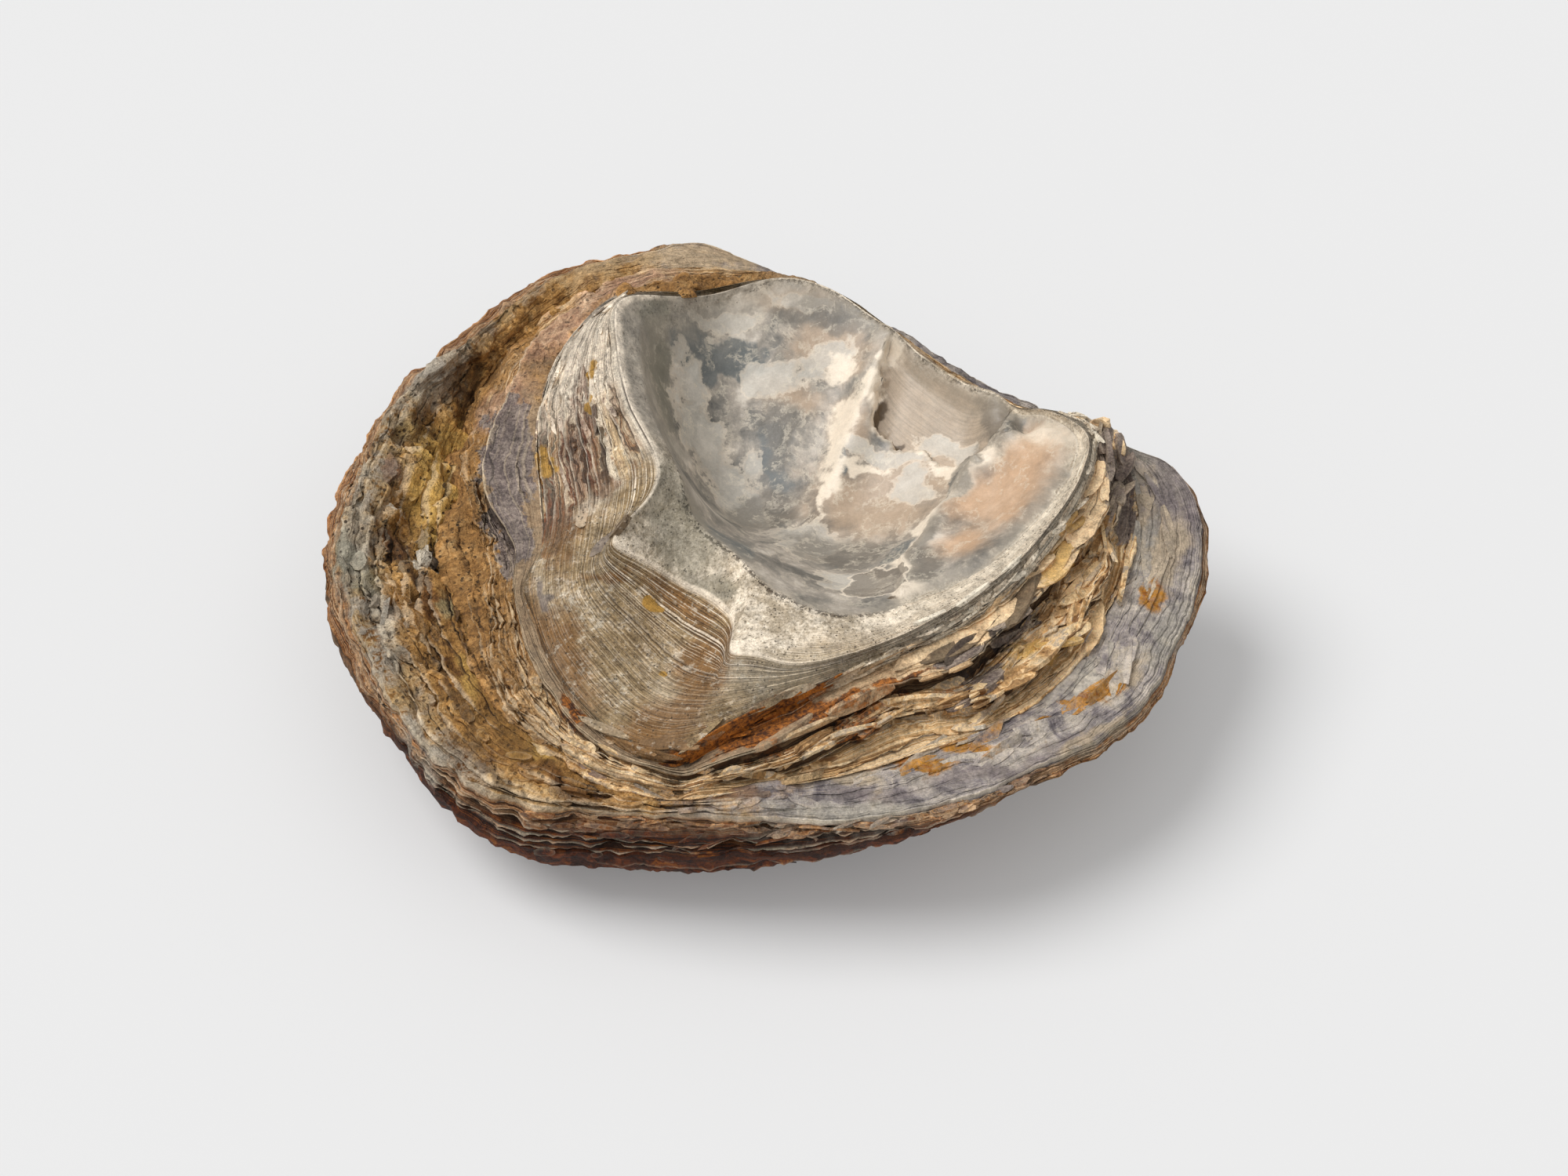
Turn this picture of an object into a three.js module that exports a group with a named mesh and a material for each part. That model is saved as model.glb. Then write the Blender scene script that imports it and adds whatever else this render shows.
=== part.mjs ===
// A fossil oyster: one thick, weathered valve that lies with its hollow side up.
//
// The valve grew as one piece, so it is one closed solid. Its surface is lofted through
// growth rings, from the floor of the bowl, over the rim and the hinge plate, down the broken
// plates and the crusted outer rim, and round the belly to a small flat that it rests on.
// Every ring goes once around a point in the bowl, so a direction around that point and a
// step along the loft give one point of the surface.
//
// Millimetres, +Z up. The origin is under the middle of the outline, on the resting surface.
import * as THREE from "three";

// ---------------------------------------------------------------- driving dimensions

const SECTORS = 92; // facets around
const HEART = { x: 10, y: 5 }; // the point in the bowl that the rings go around
const BOWL_FLOOR = 23; // height of the bowl's floor above the surface it rests on
const WALL_STEEPNESS = 4; // how late the bowl's left wall rises: higher is steeper
const BELLY_BULGE = 0.9; // how round the belly is under the crusted side, 0 a cone, 1 round
const EDGE_CHIP = 0.9; // how far chips bite into the broken edges
const BELLY_LUMP = 0.8; // how far the belly's lumps stand out
const CRUST_LUMP = 8; // size of the crust's lumps
const CRUST_HEIGHT = 1.5; // how far they stand out
const LEDGE_HEIGHT = 1.3; // drop of each growth ledge on the outer rim
const EDGE_LEDGES = 3; // layers that show in the outer edge
const EDGE_LEDGE_DEPTH = 0.9;
const BELLY_LEDGES = 4; // growth ledges down the belly
const BELLY_LEDGE_DEPTH = 1.1;

// ---------------------------------------------------------------- growth rings
// Closed curves through [x, y, z] points, counterclockwise from the back of the hump.
// A fourth number is the drop of the broken edge there, down to the layer under it.

// Edge of the smooth bowl, under the crest on the left.
const bowlEdge = [
  [-6.5, 43, 41], [-15, 36, 44], [-21.5, 29.5, 47], [-21.5, 18, 47.5], [-19.5, 6, 47.5],
  [-14.5, -7.5, 46], [-12, -14, 43], [-4.5, -22, 41], [1, -29, 40], [13, -34, 39],
  [28.5, -28, 38.5], [38, -22.5, 40.5], [46, -13, 41.5], [51, -5, 42.5], [52.5, 2, 43.5],
  [47.5, 11, 41], [39, 16.5, 39], [25, 32, 37], [11.5, 45, 39], [3.5, 47, 40],
];

// First growth line: crest of the left wall, cusp beside the hinge, and ligament pit.
const growthLine = [
  [-7, 43.6, 42.2], [-17.5, 36.5, 47], [-25.5, 29, 51], [-25.5, 17.5, 51], [-23, 4, 51],
  [-17.5, -10.5, 49], [-20, -15.5, 47], [-23.5, -19, 45], [-25, -22, 44], [-17.5, -22.5, 40],
  [-10.5, -24.5, 38], [-6, -30.5, 38], [-5, -36.5, 39], [-6.5, -41.5, 40], [0.5, -44.5, 39],
  [8, -45, 40], [23, -38, 39.5], [39.5, -26.5, 42], [47.5, -16, 43], [52.5, -7.5, 45],
  [54, 0.5, 46], [47.5, 11, 42.5], [39, 17, 39.5], [25, 32.5, 37], [11.5, 45.5, 39],
  [3.5, 47.5, 40],
];

// Margin of the last shell: foot of the striped wall, hinge point and right rim.
const margin = [
  [-7, 45, 42, 1], [-17.5, 38.5, 46, 1], [-27, 34.5, 47, 1], [-32, 32.5, 43, 0.5],
  [-36.5, 26.5, 40, 0], [-39, 17.5, 38, 0], [-39.5, 8, 36, 0.5], [-38, -5, 35, 0.5],
  [-37.5, -15, 35, 1], [-40, -22.5, 34, 1], [-37.5, -31, 33, 1], [-34, -40.5, 33, 1],
  [-29, -49, 34, 1.5], [-23.5, -55, 34, 1.5], [-18, -58, 34, 2], [-12.5, -57.5, 35, 3],
  [-5.5, -54.5, 36, 4], [4, -49, 37, 4], [15.5, -43, 37, 2], [24.5, -38.5, 37.5, 0.5],
  [33, -33, 38, 1.5], [41.5, -26, 40, 2.5], [50, -13.5, 41, 2.5], [54.5, -4.5, 43, 2.5],
  [55.5, 3.5, 45, 1.5], [48, 12, 41.5, 1], [39, 18.5, 37.5, 1], [25.5, 34, 35, 1],
  [17, 43, 37, 1], [11.5, 46.5, 38, 1], [3.5, 48.5, 39, 1],
];

// First broken edge: purple plate on the left, tan plate on the right.
const plateEdge = [
  [-7, 49, 40, 0.5], [-25, 41, 43, 1], [-34.5, 38, 41, 1.5], [-40, 32.5, 39, 2],
  [-44, 24.5, 37, 2.5], [-46.5, 16, 36, 4], [-48.5, 6.5, 34, 5], [-47.5, -2, 34, 5],
  [-42, -13.5, 33, 3], [-41.5, -23, 32.5, 2], [-39, -34.5, 32, 2], [-35, -43, 32, 2],
  [-30, -52, 32, 2], [-21.5, -58.7, 32.5, 1], [-12, -60, 33, 2], [-2, -57.8, 33.5, 3],
  [8, -53, 34.5, 3], [19.5, -45.5, 35, 3.5], [29.5, -43, 36, 5], [38.5, -36, 36.5, 5.5],
  [45.5, -27.5, 37, 5.5], [55, -17, 37.5, 5], [58.5, -10.5, 39, 5], [59, -3, 41, 5],
  [56.5, 3.5, 44, 5], [48, 14, 39, 3], [39.5, 21.5, 35, 2], [25.5, 37, 33, 1],
  [11.5, 49, 35, 0.5], [3.5, 51.5, 37, 0.5],
];

// Second broken edge: step in the crust on the left, lower plates on the right.
const secondEdge = [
  [-11, 51.5, 38, 0.5], [-24, 46.5, 39, 0.5], [-34, 41.5, 38, 1], [-41, 36.5, 35, 1],
  [-47, 31, 32, 0.5], [-51, 22, 29, 0], [-52, 13.5, 27.5, 0], [-51, 2, 28, 0],
  [-47.5, -10.5, 29, 0.5], [-47, -22, 29.5, 1], [-45.5, -33.5, 30, 2], [-42, -43.5, 30, 2],
  [-36, -51, 30, 1.5], [-28.5, -57, 30, 1], [-20.5, -61, 30.5, 1], [-12, -62, 31, 1],
  [-4.5, -61, 31, 2], [3, -58.8, 31.5, 2.5], [17, -51.5, 32, 2.5], [25, -47.5, 31.5, 2],
  [33.5, -46, 32, 3], [40, -42.5, 32, 3], [46.5, -37, 32, 3], [52.5, -32, 32, 2.5],
  [57, -23, 33, 2.5], [61, -13.5, 34, 2.5], [63.5, -4, 36, 3], [63, 3, 37.5, 3],
  [59, 7, 39, 3], [48.5, 16, 36, 1.5], [39.8, 24, 33, 0.5], [25.6, 38.5, 32, 0.5],
  [11.5, 50.5, 34, 0.5], [3.5, 53, 36, 0.5],
];

// Floor of the crusted hollow on the left, foot of the plates on the right.
const hollow = [
  [-11, 54, 36.5], [-21, 51.5, 37], [-31, 48, 37], [-39, 43.5, 35], [-46.5, 40, 31],
  [-52.5, 34, 27.5], [-55, 24.5, 25], [-56.5, 13.5, 24], [-57, 2, 25], [-56, -10.5, 26],
  [-53, -24, 27], [-48.5, -35, 27.5], [-42.5, -46, 28], [-34.5, -54, 28.5], [-27, -59.5, 28.5],
  [-19.5, -62.5, 28.8], [-9.5, -63.5, 29], [3, -61, 28.5], [14, -58, 28], [25.5, -53.5, 28],
  [36, -48.5, 28], [46.5, -43, 28], [54.5, -36, 28.5], [60.5, -27.5, 29.5], [65.5, -18, 30.5],
  [68, -8.5, 31.5], [68, -0.5, 33], [65, 5.5, 34.5], [56.5, 11, 35.5], [48.3, 17.8, 34],
  [40, 25.5, 32], [25.7, 39.7, 31], [11.5, 52, 32.5], [3.5, 54.5, 34.5],
];

// Raised outer rim: top edge of the outermost layer.
const outerRim = [
  [-13.5, 63, 35, 1], [-21, 58.5, 36, 1], [-29, 55, 37, 1], [-39, 50, 37, 1],
  [-48, 42, 36, 1], [-55.5, 33.5, 35, 1], [-62.5, 24, 34.5, 1], [-67.5, 12, 34, 1.5],
  [-70, -0.5, 33, 1.5], [-71, -10.5, 32, 2], [-70, -19, 31, 2], [-67.5, -27, 30, 2],
  [-64.5, -34.5, 29, 2], [-60.5, -42, 28, 2], [-57, -48, 27.5, 2], [-51.5, -54, 26.5, 2.5],
  [-46, -58.8, 26, 2.5], [-38, -62.5, 26, 2.5], [-30, -64.5, 27, 2], [-20, -65.5, 27.5, 2],
  [-7, -66.5, 28, 2], [3, -66.5, 27.5, 2], [15.5, -66.5, 27.5, 1.5], [25, -65, 28, 1.5],
  [34, -62, 28.5, 1.5], [43, -57, 28.5, 1.5], [52, -51, 27.5, 1.5], [59, -44, 27, 1.5],
  [63.5, -38, 27, 1.5], [67, -29.5, 27, 1.5], [70.5, -22, 27.5, 1.5], [73, -15, 28.5, 1.5],
  [73.5, -9.5, 30, 1.5], [74, -4, 31, 1.5], [71.5, 2, 33, 1.5], [68, 5.5, 35, 1.5],
  [63.5, 7, 36, 1.5], [56.8, 12.3, 36, 1.5], [48.5, 19.5, 34, 1.5], [40.3, 27, 32, 1],
  [26, 40.7, 31, 1], [12, 52.5, 31.5, 1], [3.5, 55.5, 33, 1], [-4, 59.2, 34, 1],
];

// Outermost line of the valve, where the upper side turns into the belly.
const outline = [
  [-4, 61, 31.5], [-10, 63.7, 32], [-16, 65, 33], [-23, 63, 33], [-31, 60.3, 33.5], [-41, 56, 32.5], [-51, 48, 31.5],
  [-59.5, 38.5, 30], [-66, 28, 29], [-72, 14, 28], [-74.5, 2.5, 27], [-75.2, -11, 26],
  [-73, -22, 24], [-66.3, -36.5, 22], [-58, -49, 20.5], [-50.5, -57, 18], [-42.5, -61.8, 16],
  [-33, -64.5, 16], [-22, -65.8, 16.5], [-9.5, -66.5, 17], [3, -66.8, 19], [15.5, -67, 22.5],
  [25, -66.5, 25], [35, -63, 26], [44, -58, 26], [53.5, -51.8, 25], [60.5, -44.5, 24],
  [65, -38, 24], [68.5, -29, 24.5], [72, -22, 25], [74.5, -15, 26], [75, -9, 27.5],
  [75.5, -3, 28.5], [73, 3.5, 30.5], [69, 7.2, 33], [64, 9, 33.5], [57, 14, 32],
  [49, 21.5, 29], [41, 29, 27], [27, 42.5, 26], [13, 54.5, 28], [4, 58.2, 30],
];

// Edge of the flat that the valve rests on.
const restingEdge = [
  [-8, 34, 0], [-32, 27, 0], [-42, 4, 0], [-38, -22, 0], [-20, -38, 0],
  [4, -40, 0], [26, -28, 0], [34, -6, 0], [28, 16, 0], [10, 30, 0],
];

// ---------------------------------------------------------------- mounds and hollows
// Soft swellings of the upper side: middle, half length and half width, the turn of the
// length from +X in degrees, and the height, which is negative for a hollow. A firm one has
// a flatter middle and a steeper side.
const SWELLINGS = [
  { name: "trough at the foot of the left wall", x: -8, y: 22, long: 26, wide: 9, turn: 98, high: -4.5 },
  { name: "ridge beside the scar", x: 15, y: 19, long: 16, wide: 6, turn: 67, high: 2.5 },
  { name: "muscle scar", x: 30, y: 21, long: 13, wide: 9.5, turn: 110, high: -3, firm: 3 },
  { name: "fold beyond the scar", x: 40, y: 11, long: 8, wide: 3.5, turn: 112, high: 2 },
  { name: "ligament pit", x: -15, y: -40, long: 15, wide: 7.5, turn: 70, high: -4.5 },
  { name: "left side of the hinge", x: -30, y: -34, long: 15, wide: 5, turn: 110, high: 1.2 },
  { name: "right side of the hinge", x: -3, y: -47, long: 8, wide: 4, turn: 35, high: 1 },
  { name: "pocket under the crest", x: -14, y: -19, long: 7, wide: 4.5, turn: 125, high: -3 },
  { name: "hump behind the bowl", x: -19, y: 53, long: 14, wide: 6, turn: 15, high: 2 },
  { name: "hole in the crust", x: -62, y: -1, long: 5, wide: 3, turn: 80, high: -2.5 },
  { name: "sand in the hollow", x: -52, y: 6, long: 14, wide: 5, turn: 75, high: 2 },
  { name: "rust pit beside the hinge point", x: -13, y: -60, long: 5, wide: 3, turn: 30, high: -2.5 },
];

// ---------------------------------------------------------------- helpers

const lerp = (a, b, t) => a + (b - a) * t;
const clamp01 = (t) => Math.min(1, Math.max(0, t));
const smooth = (t) => clamp01(t) ** 2 * (3 - 2 * clamp01(t));

// Repeatable value noise from -1 to 1, one lump to each unit of length.
function noise(x, y, z) {
  const corner = (i, j, k) => {
    const s = Math.sin(i * 127.1 + j * 311.7 + k * 74.7) * 43758.5453;
    return 2 * (s - Math.floor(s)) - 1;
  };
  const [i, j, k] = [Math.floor(x), Math.floor(y), Math.floor(z)];
  const [u, v, w] = [smooth(x - i), smooth(y - j), smooth(z - k)];
  const row = (b, c) => lerp(corner(i, j + b, k + c), corner(i + 1, j + b, k + c), u);
  const sheet = (c) => lerp(row(0, c), row(1, c), v);
  return lerp(sheet(0), sheet(1), w);
}

// A ring as a function of direction: {r, z, drop}, r from the heart of the bowl.
function ring(points) {
  const curve = new THREE.CatmullRomCurve3(
    points.map(([x, y, z]) => new THREE.Vector3(x - HEART.x, y - HEART.y, z)),
    true,
    "centripetal",
  );
  const drops = points.map((p) => p[3] ?? 0);
  const count = points.length * 12;
  const samples = Array.from({ length: count }, (_, i) => {
    const along = (i / count) * drops.length;
    const before = Math.floor(along);
    const p = curve.getPoint(i / count);
    const drop = lerp(drops[before], drops[(before + 1) % drops.length], along - before);
    return { x: p.x, y: p.y, z: p.z, drop };
  });
  return (angle) => {
    const [c, s] = [Math.cos(angle), Math.sin(angle)];
    let found = { r: -1 };
    samples.forEach((a, i) => {
      const b = samples[(i + 1) % count];
      const [sideA, sideB] = [a.y * c - a.x * s, b.y * c - b.x * s];
      if (sideA * sideB > 0 || sideA === sideB) return;
      const t = sideA / (sideA - sideB);
      const r = lerp(a.x, b.x, t) * c + lerp(a.y, b.y, t) * s;
      if (r > found.r) found = { r, z: lerp(a.z, b.z, t), drop: lerp(a.drop, b.drop, t) };
    });
    return found;
  };
}

const rings = {
  bowl: ring(bowlEdge),
  line: ring(growthLine),
  margin: ring(margin),
  plate: ring(plateEdge),
  second: ring(secondEdge),
  hollow: ring(hollow),
  rim: ring(outerRim),
  outline: ring(outline),
  rest: ring(restingEdge),
};

// 1 on the side of an angle, falling to 0 at spread degrees from it.
function facing(angle, degrees, spread) {
  const off = THREE.MathUtils.radToDeg(angle) - degrees;
  const turn = Math.abs(((((off + 180) % 360) + 360) % 360) - 180);
  return 1 - smooth(turn / spread);
}

// ---------------------------------------------------------------- one radial section
// The section from the bowl's floor to the middle of the resting flat, as {r, z, crust}
// stations. Every direction has the same number of stations.
function section(angle) {
  const at = {};
  for (const [name, curve] of Object.entries(rings)) at[name] = curve(angle);
  const around = [9 * Math.cos(angle), 9 * Math.sin(angle)];
  at.plate.r += EDGE_CHIP * noise(...around, 1.5);
  at.second.r += EDGE_CHIP * noise(...around, 2.5);
  at.rim.r += 0.5 * EDGE_CHIP * noise(...around, 3.5);
  const stations = [];
  const add = (r, z, crust = 0) => stations.push({ r, z, crust });
  const slope = (from, to, steps, crust = 0) => {
    for (let i = 1; i <= steps; i++) {
      const t = i / (steps + 1);
      add(lerp(from.r, to.r, t), lerp(from.z, to.z, t), crust);
    }
  };

  // The bowl: a gentle slope all round but for the steep wall on its left.
  const wall = facing(angle, 175, 85);
  for (const t of [0.12, 0.24, 0.36, 0.48, 0.6, 0.7, 0.79, 0.87, 0.94]) {
    const rise = lerp(t ** 2 * (2 - t), t ** WALL_STEEPNESS, wall);
    add(t * at.bowl.r, lerp(BOWL_FLOOR, at.bowl.z, rise));
  }

  add(at.bowl.r, at.bowl.z);
  slope(at.bowl, at.line, 1);
  add(at.line.r, at.line.z);
  slope(at.line, at.margin, 4);

  // A broken edge: its top, then its foot, which stands a little further out.
  const edge = (e, crust) => {
    add(e.r, e.z, crust);
    const foot = { r: e.r + 0.5, z: e.z - e.drop };
    add(foot.r, foot.z, crust);
    return foot;
  };
  // Layers one above another: the lip of each stands out over the foot of the next.
  const ledges = (from, to, count, depth, crust, inward = (t) => t, down = (t) => t) => {
    for (let i = 0; i < count; i++) {
      const lip = (i + 0.6) / count;
      const foot = (i + 0.8) / count;
      const under = depth * Math.min(1, count - i - 0.5);
      const lump = BELLY_LUMP * noise(around[0] / 2, around[1] / 2, i + depth);
      add(lerp(from.r, to.r, inward(lip)) + lump, lerp(from.z, to.z, down(lip)), crust);
      add(lerp(from.r, to.r, inward(foot)) + lump - under, lerp(from.z, to.z, down(foot)), crust);
    }
  };
  const left = facing(angle, 190, 95);
  const underMargin = edge(at.margin, 0);
  slope(underMargin, at.plate, 2, 0.2 * left);
  const underPlate = edge(at.plate, 0.4 * left);
  slope(underPlate, at.second, 2, left);
  const underSecond = edge(at.second, left);
  slope(underSecond, at.hollow, 2, left);
  add(at.hollow.r, at.hollow.z, left);

  // The outer rim rises out of the hollow in ledges on the crusted side.
  const rimSteps = 4;
  for (let i = 1; i <= rimSteps; i++) {
    const t = i / (rimSteps + 1);
    const ledge = LEDGE_HEIGHT * left * (i % 2 ? 0.5 : -0.5);
    add(lerp(at.hollow.r, at.rim.r, t), lerp(at.hollow.z, at.rim.z, smooth(t)) + ledge, left);
  }
  ledges(edge(at.rim, 0.5 * left), at.outline, EDGE_LEDGES, EDGE_LEDGE_DEPTH, 0.4);
  add(at.outline.r, at.outline.z, 0.3);

  // The belly: round under the crusted side, a flat cone under the thin right lobe.
  const bulge = BELLY_BULGE * (1 - facing(angle, -30, 85));
  const inward = (t) => lerp(t, 1 - Math.cos((t * Math.PI) / 2), bulge);
  const down = (t) => lerp(t, Math.sin((t * Math.PI) / 2), bulge);
  ledges(at.outline, { r: at.rest.r, z: 0 }, BELLY_LEDGES, BELLY_LEDGE_DEPTH, 0.2, inward, down);
  add(at.rest.r, 0);
  add(at.rest.r * 0.5, 0);
  return stations;
}

// Height that the swellings and the crust add to the upper side at a point.
function relief(x, y, z, crust) {
  let height = 0;
  for (const s of SWELLINGS) {
    const turn = THREE.MathUtils.degToRad(s.turn);
    const along = (x - s.x) * Math.cos(turn) + (y - s.y) * Math.sin(turn);
    const across = (y - s.y) * Math.cos(turn) - (x - s.x) * Math.sin(turn);
    const out = (along / s.long) ** 2 + (across / s.wide) ** 2;
    height += s.high * Math.exp(-(out ** (s.firm ?? 1)));
  }
  return height + CRUST_HEIGHT * crust * noise(x / CRUST_LUMP, y / CRUST_LUMP, z / CRUST_LUMP);
}

// ---------------------------------------------------------------- the solid

function valveGeometry() {
  const sections = Array.from({ length: SECTORS }, (_, i) => {
    const angle = (i / SECTORS) * 2 * Math.PI;
    return section(angle).map(({ r, z, crust }) => {
      const x = HEART.x + r * Math.cos(angle);
      const y = HEART.y + r * Math.sin(angle);
      return [x, y, z, crust];
    });
  });
  const stationCount = sections[0].length;
  const lastUpper = stationCount - 2 - 2 * BELLY_LEDGES - 2; // the outline's own station

  const vertices = [];
  const push = ([x, y, z, crust], upper) => {
    vertices.push(x, y, upper ? z + relief(x, y, z, crust) : z);
  };
  push([HEART.x, HEART.y, BOWL_FLOOR, 0], true);
  for (const stations of sections) stations.forEach((s, k) => push(s, k < lastUpper));
  push([HEART.x, HEART.y, 0, 0], false);

  const triangles = [];
  const at = (i, k) => 1 + (i % SECTORS) * stationCount + k;
  const last = SECTORS * stationCount + 1;
  for (let i = 0; i < SECTORS; i++) {
    triangles.push(0, at(i, 0), at(i + 1, 0));
    for (let k = 0; k + 1 < stationCount; k++) {
      triangles.push(at(i, k), at(i, k + 1), at(i + 1, k + 1));
      triangles.push(at(i, k), at(i + 1, k + 1), at(i + 1, k));
    }
    triangles.push(last, at(i + 1, stationCount - 1), at(i, stationCount - 1));
  }

  const geometry = new THREE.BufferGeometry();
  geometry.setAttribute("position", new THREE.Float32BufferAttribute(vertices, 3));
  geometry.setIndex(triangles);
  geometry.computeBoundingBox();
  const middle = geometry.boundingBox.getCenter(new THREE.Vector3());
  geometry.translate(-middle.x, -middle.y, 0);
  geometry.computeVertexNormals();
  return geometry;
}

const valve = new THREE.Mesh(
  valveGeometry(),
  new THREE.MeshStandardMaterial({ color: 0x9a8670, roughness: 0.75, metalness: 0 }),
);
valve.name = "oyster_valve";

const fossil = new THREE.Group();
fossil.add(valve);

export default fossil;
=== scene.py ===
import math

import bpy
import numpy as np
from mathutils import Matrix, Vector


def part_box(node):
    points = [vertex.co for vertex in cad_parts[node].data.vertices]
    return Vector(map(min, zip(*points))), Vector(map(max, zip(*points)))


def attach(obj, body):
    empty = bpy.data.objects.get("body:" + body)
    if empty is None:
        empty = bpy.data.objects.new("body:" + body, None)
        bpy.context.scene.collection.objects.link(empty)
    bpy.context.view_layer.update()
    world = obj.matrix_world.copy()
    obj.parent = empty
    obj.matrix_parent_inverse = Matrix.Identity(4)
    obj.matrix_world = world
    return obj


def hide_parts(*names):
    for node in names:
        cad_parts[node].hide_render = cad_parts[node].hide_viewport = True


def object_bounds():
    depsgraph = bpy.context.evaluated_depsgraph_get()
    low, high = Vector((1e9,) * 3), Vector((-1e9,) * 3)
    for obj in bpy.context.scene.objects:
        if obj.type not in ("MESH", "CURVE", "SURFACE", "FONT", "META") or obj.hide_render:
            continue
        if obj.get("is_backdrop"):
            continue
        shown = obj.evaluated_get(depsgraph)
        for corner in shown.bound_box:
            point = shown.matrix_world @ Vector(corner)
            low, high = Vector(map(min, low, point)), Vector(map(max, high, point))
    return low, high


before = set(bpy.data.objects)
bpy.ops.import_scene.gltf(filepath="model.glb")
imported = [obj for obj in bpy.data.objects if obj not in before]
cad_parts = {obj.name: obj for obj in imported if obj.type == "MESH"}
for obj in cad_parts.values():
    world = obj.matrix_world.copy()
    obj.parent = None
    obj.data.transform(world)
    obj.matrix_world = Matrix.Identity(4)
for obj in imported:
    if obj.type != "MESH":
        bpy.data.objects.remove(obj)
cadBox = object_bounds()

mm = 0.001
valveLow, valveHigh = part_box("oyster_valve")

# The valve as a whole. Growth rings are drawn in mm around the heart of the bowl.
valve = {
    "middle": (0.14, -1.01),  # of the outline, in the rings' own mm
    "heart": (10, 5),  # the point in the bowl that the rings go around
    "bowlFloor": 23,
    "wallSteepness": 4,
    "length": 150.86,  # that the rings are drawn for
}
ringScale = (valveHigh.x - valveLow.x) / (valve["length"] * mm)
print(f"valve {ringScale:.3f} of its drawn size")

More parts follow.
